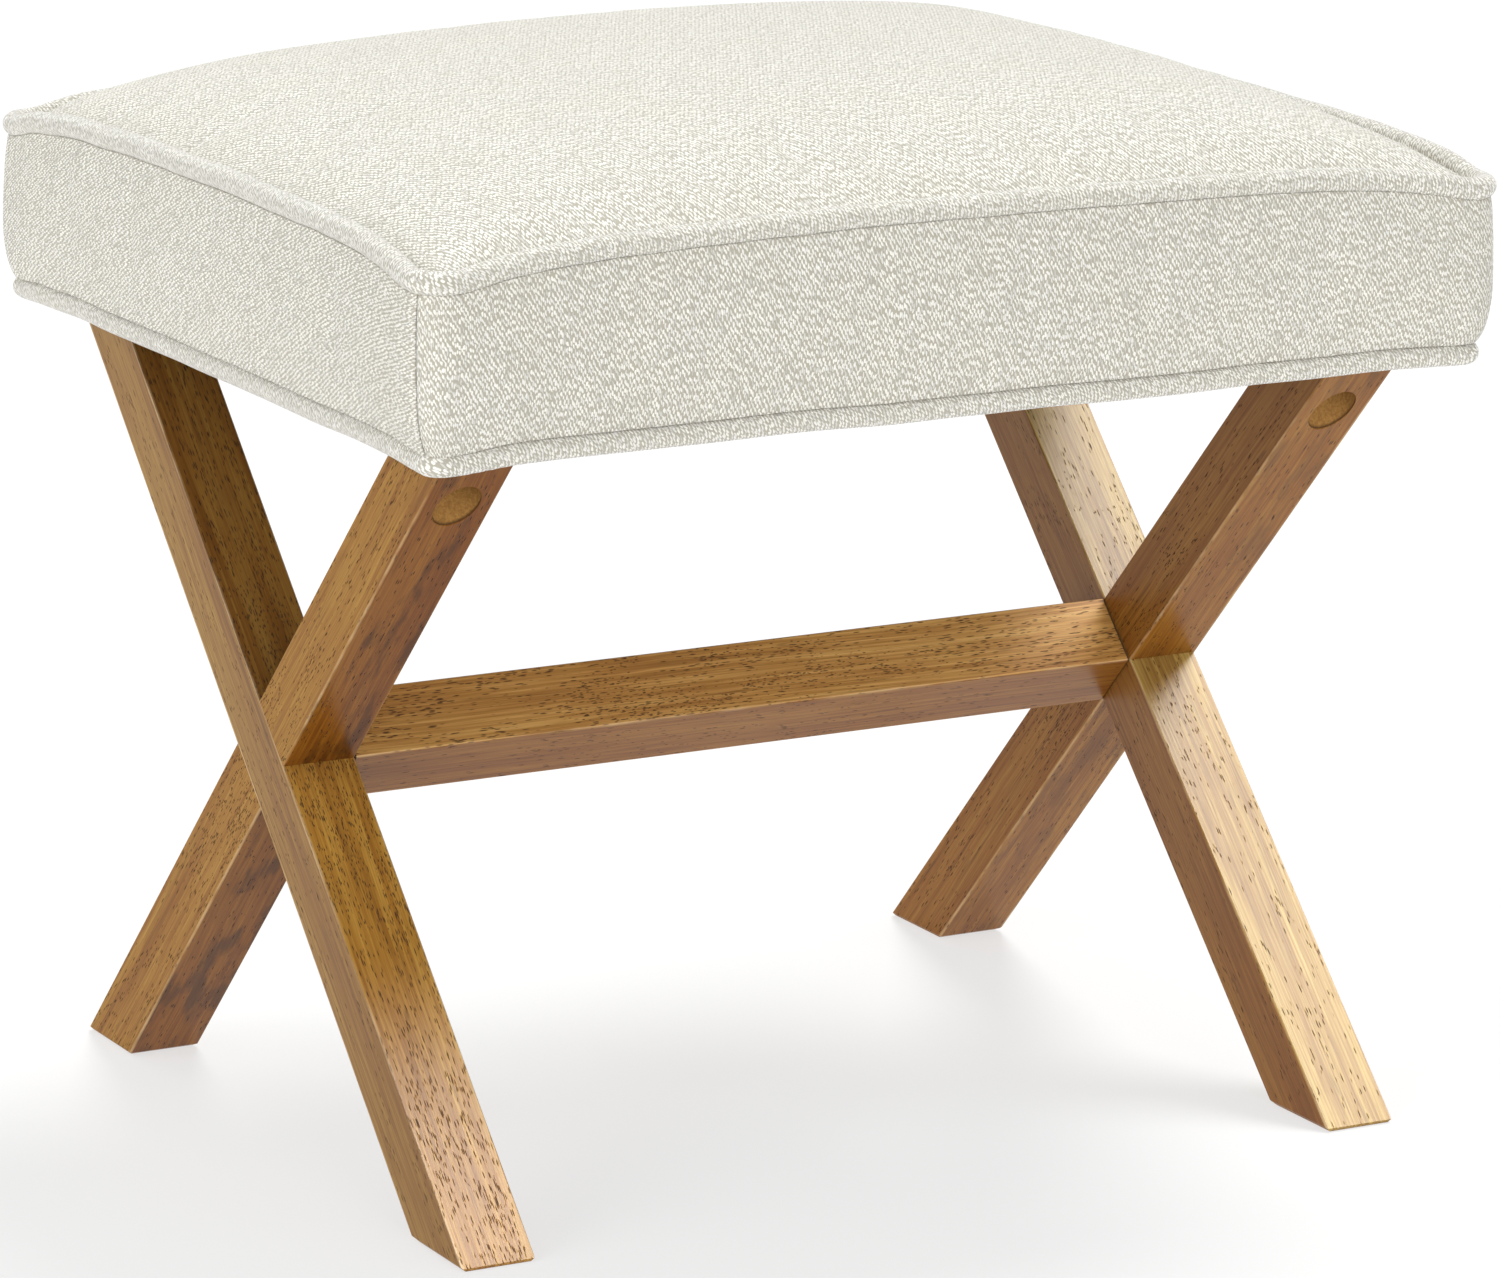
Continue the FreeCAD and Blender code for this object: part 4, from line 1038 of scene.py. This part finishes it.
def rowTree():
    tree, given, result = newTree(
        "stapleRow", "Geometry",
        {"Geometry": "Geometry", "Wire": "Object", "Uneven": "Float", "Seed": "Int", "Material": "Material"},
        {"Geometry": "Geometry"})
    points = geo(tree, "MeshToPoints", {"Mesh": given["Geometry"]})[0]
    luck = put(tree, "FunctionNodeRandomValue", {"Min": -1.0, "Max": 1.0, "Seed": given["Seed"]}, data_type="FLOAT")
    luck = [o for o in luck.outputs if o.enabled][0]
    angle = timesPlus(luck, given["Uneven"], stored(tree, "turn"))
    spin = put(tree, "FunctionNodeEulerToRotation", {0: shade("CombineXYZ", {2: angle}).outputs[0]}).outputs[0]
    wire = geo(tree, "ObjectInfo", {"Object": given["Wire"]})["Geometry"]
    row = geo(tree, "InstanceOnPoints", {"Points": points, "Instance": wire, "Rotation": spin})[0]
    row = geo(tree, "RealizeInstances", {"Geometry": row})[0]
    return give(tree, result, Geometry=geo(tree, "SetMaterial", {"Geometry": row, "Material": given["Material"]})[0])


stapleRow = rowTree()


def makeStaples(name, node, seed):
    halfX, halfY, level, rises, counts = stapleRows[name]
    spots, turns = [], []
    for reach, number, offset, turn in ((halfX, counts[0], halfY, 0.0), (halfY, counts[1], halfX, math.pi / 2)):
        for step in range(number):
            u = 2 * reach / number * (step + 0.5) - reach
            for side in (-1, 1):
                spots.append((offset * side, u, level) if turn else (u, offset * side, level))
                turns.append(turn)
    wire = addObject("stapleWire", stapleWireMesh(rises))
    values = {"Wire": wire, "Uneven": stapleRows["uneven"], "Seed": seed, "Material": stapleWire}
    piece = throughNodes(name, spots, [], stapleRow, values, {"turn": turns})
    bpy.data.objects.remove(wire)
    belong(piece, "plated_steel", node)


makeStaples("coverStaples", "cover_staples", 4)
makeStaples("dustCoverStaples", "dust_cover_staples", 9)
print("fillings, dust cover and staples made")


# stage: pale floor and soft studio light
stage = {"floor": "969694", "cloud": "929292", "glow": 0.66, "ambient": 0.1, "half": 30, "level": -0.0003,
         "cool": ("canopy",), "coolTint": (0.95, 0.98, 1.0), "frameOnly": ("frameSheen",),
         "lamps": {  # strength, angle across, from where
             "overhead": (2.28, 24, (0.42, 0.3, 0.857)), "canopy": (1.28, 120, (0.1, 0.1, 0.99)),
             "left": (2.15, 60, (-0.98, -0.12, 0.16)), "front": (1.13, 40, (-0.05, -0.97, 0.22)),
             "rightFront": (0.2, 40, (0.7, -0.65, 0.3)), "frameSheen": (2.12, 24, (0.456, -0.235, 0.858))}}


def setStage():
    mesh, half = bpy.data.meshes.new("studioFloor"), stage["half"]
    corners = ((-half, -half), (half, -half), (half, half), (-half, half))
    mesh.from_pydata([(x, y, stage["level"]) for x, y in corners], [], [(0, 1, 2, 3)])
    material, tree, surface = newMaterial(
        "studioFloor", Specular_IOR_Level=0.1, Emission_Color=(1, 1, 1, 1), Emission_Strength=stage["glow"])
    cloud = speckle(objectPlace(tree), 3.0, 3.0)
    colour = mixed(cloud, stage["floor"], stage["cloud"])
    dress(surface, colour, ease(cloud, 0.2, 0.8, 0.85, 0.95))
    mesh.materials.append(material)
    floor = addObject("studioFloor", mesh)
    world = bpy.data.worlds.new("studio")
    world.use_nodes = True
    sky = world.node_tree.nodes["Background"].inputs
    sky["Color"].default_value, sky["Strength"].default_value = (1, 1, 1, 1), stage["ambient"]
    scene.world = world
    frameOnly = bpy.data.collections.new("frameOnly")
    for name in members:
        frameOnly.objects.link(cad[name])
    for name, (power, angle, source) in stage["lamps"].items():
        lamp = bpy.data.lights.new(name, "SUN")
        lamp.energy, lamp.angle = power, math.radians(angle)
        lit = addObject(name, lamp)
        lit.rotation_euler = Vector(source).to_track_quat("Z", "Y").to_euler()
        if name in stage["cool"]:
            lamp.color = stage["coolTint"]
        if name in stage["frameOnly"]:  # a flagged lamp, kept off the seat
            lit.light_linking.receiver_collection = frameOnly
    scene.view_settings.view_transform = "Standard"


setStage()
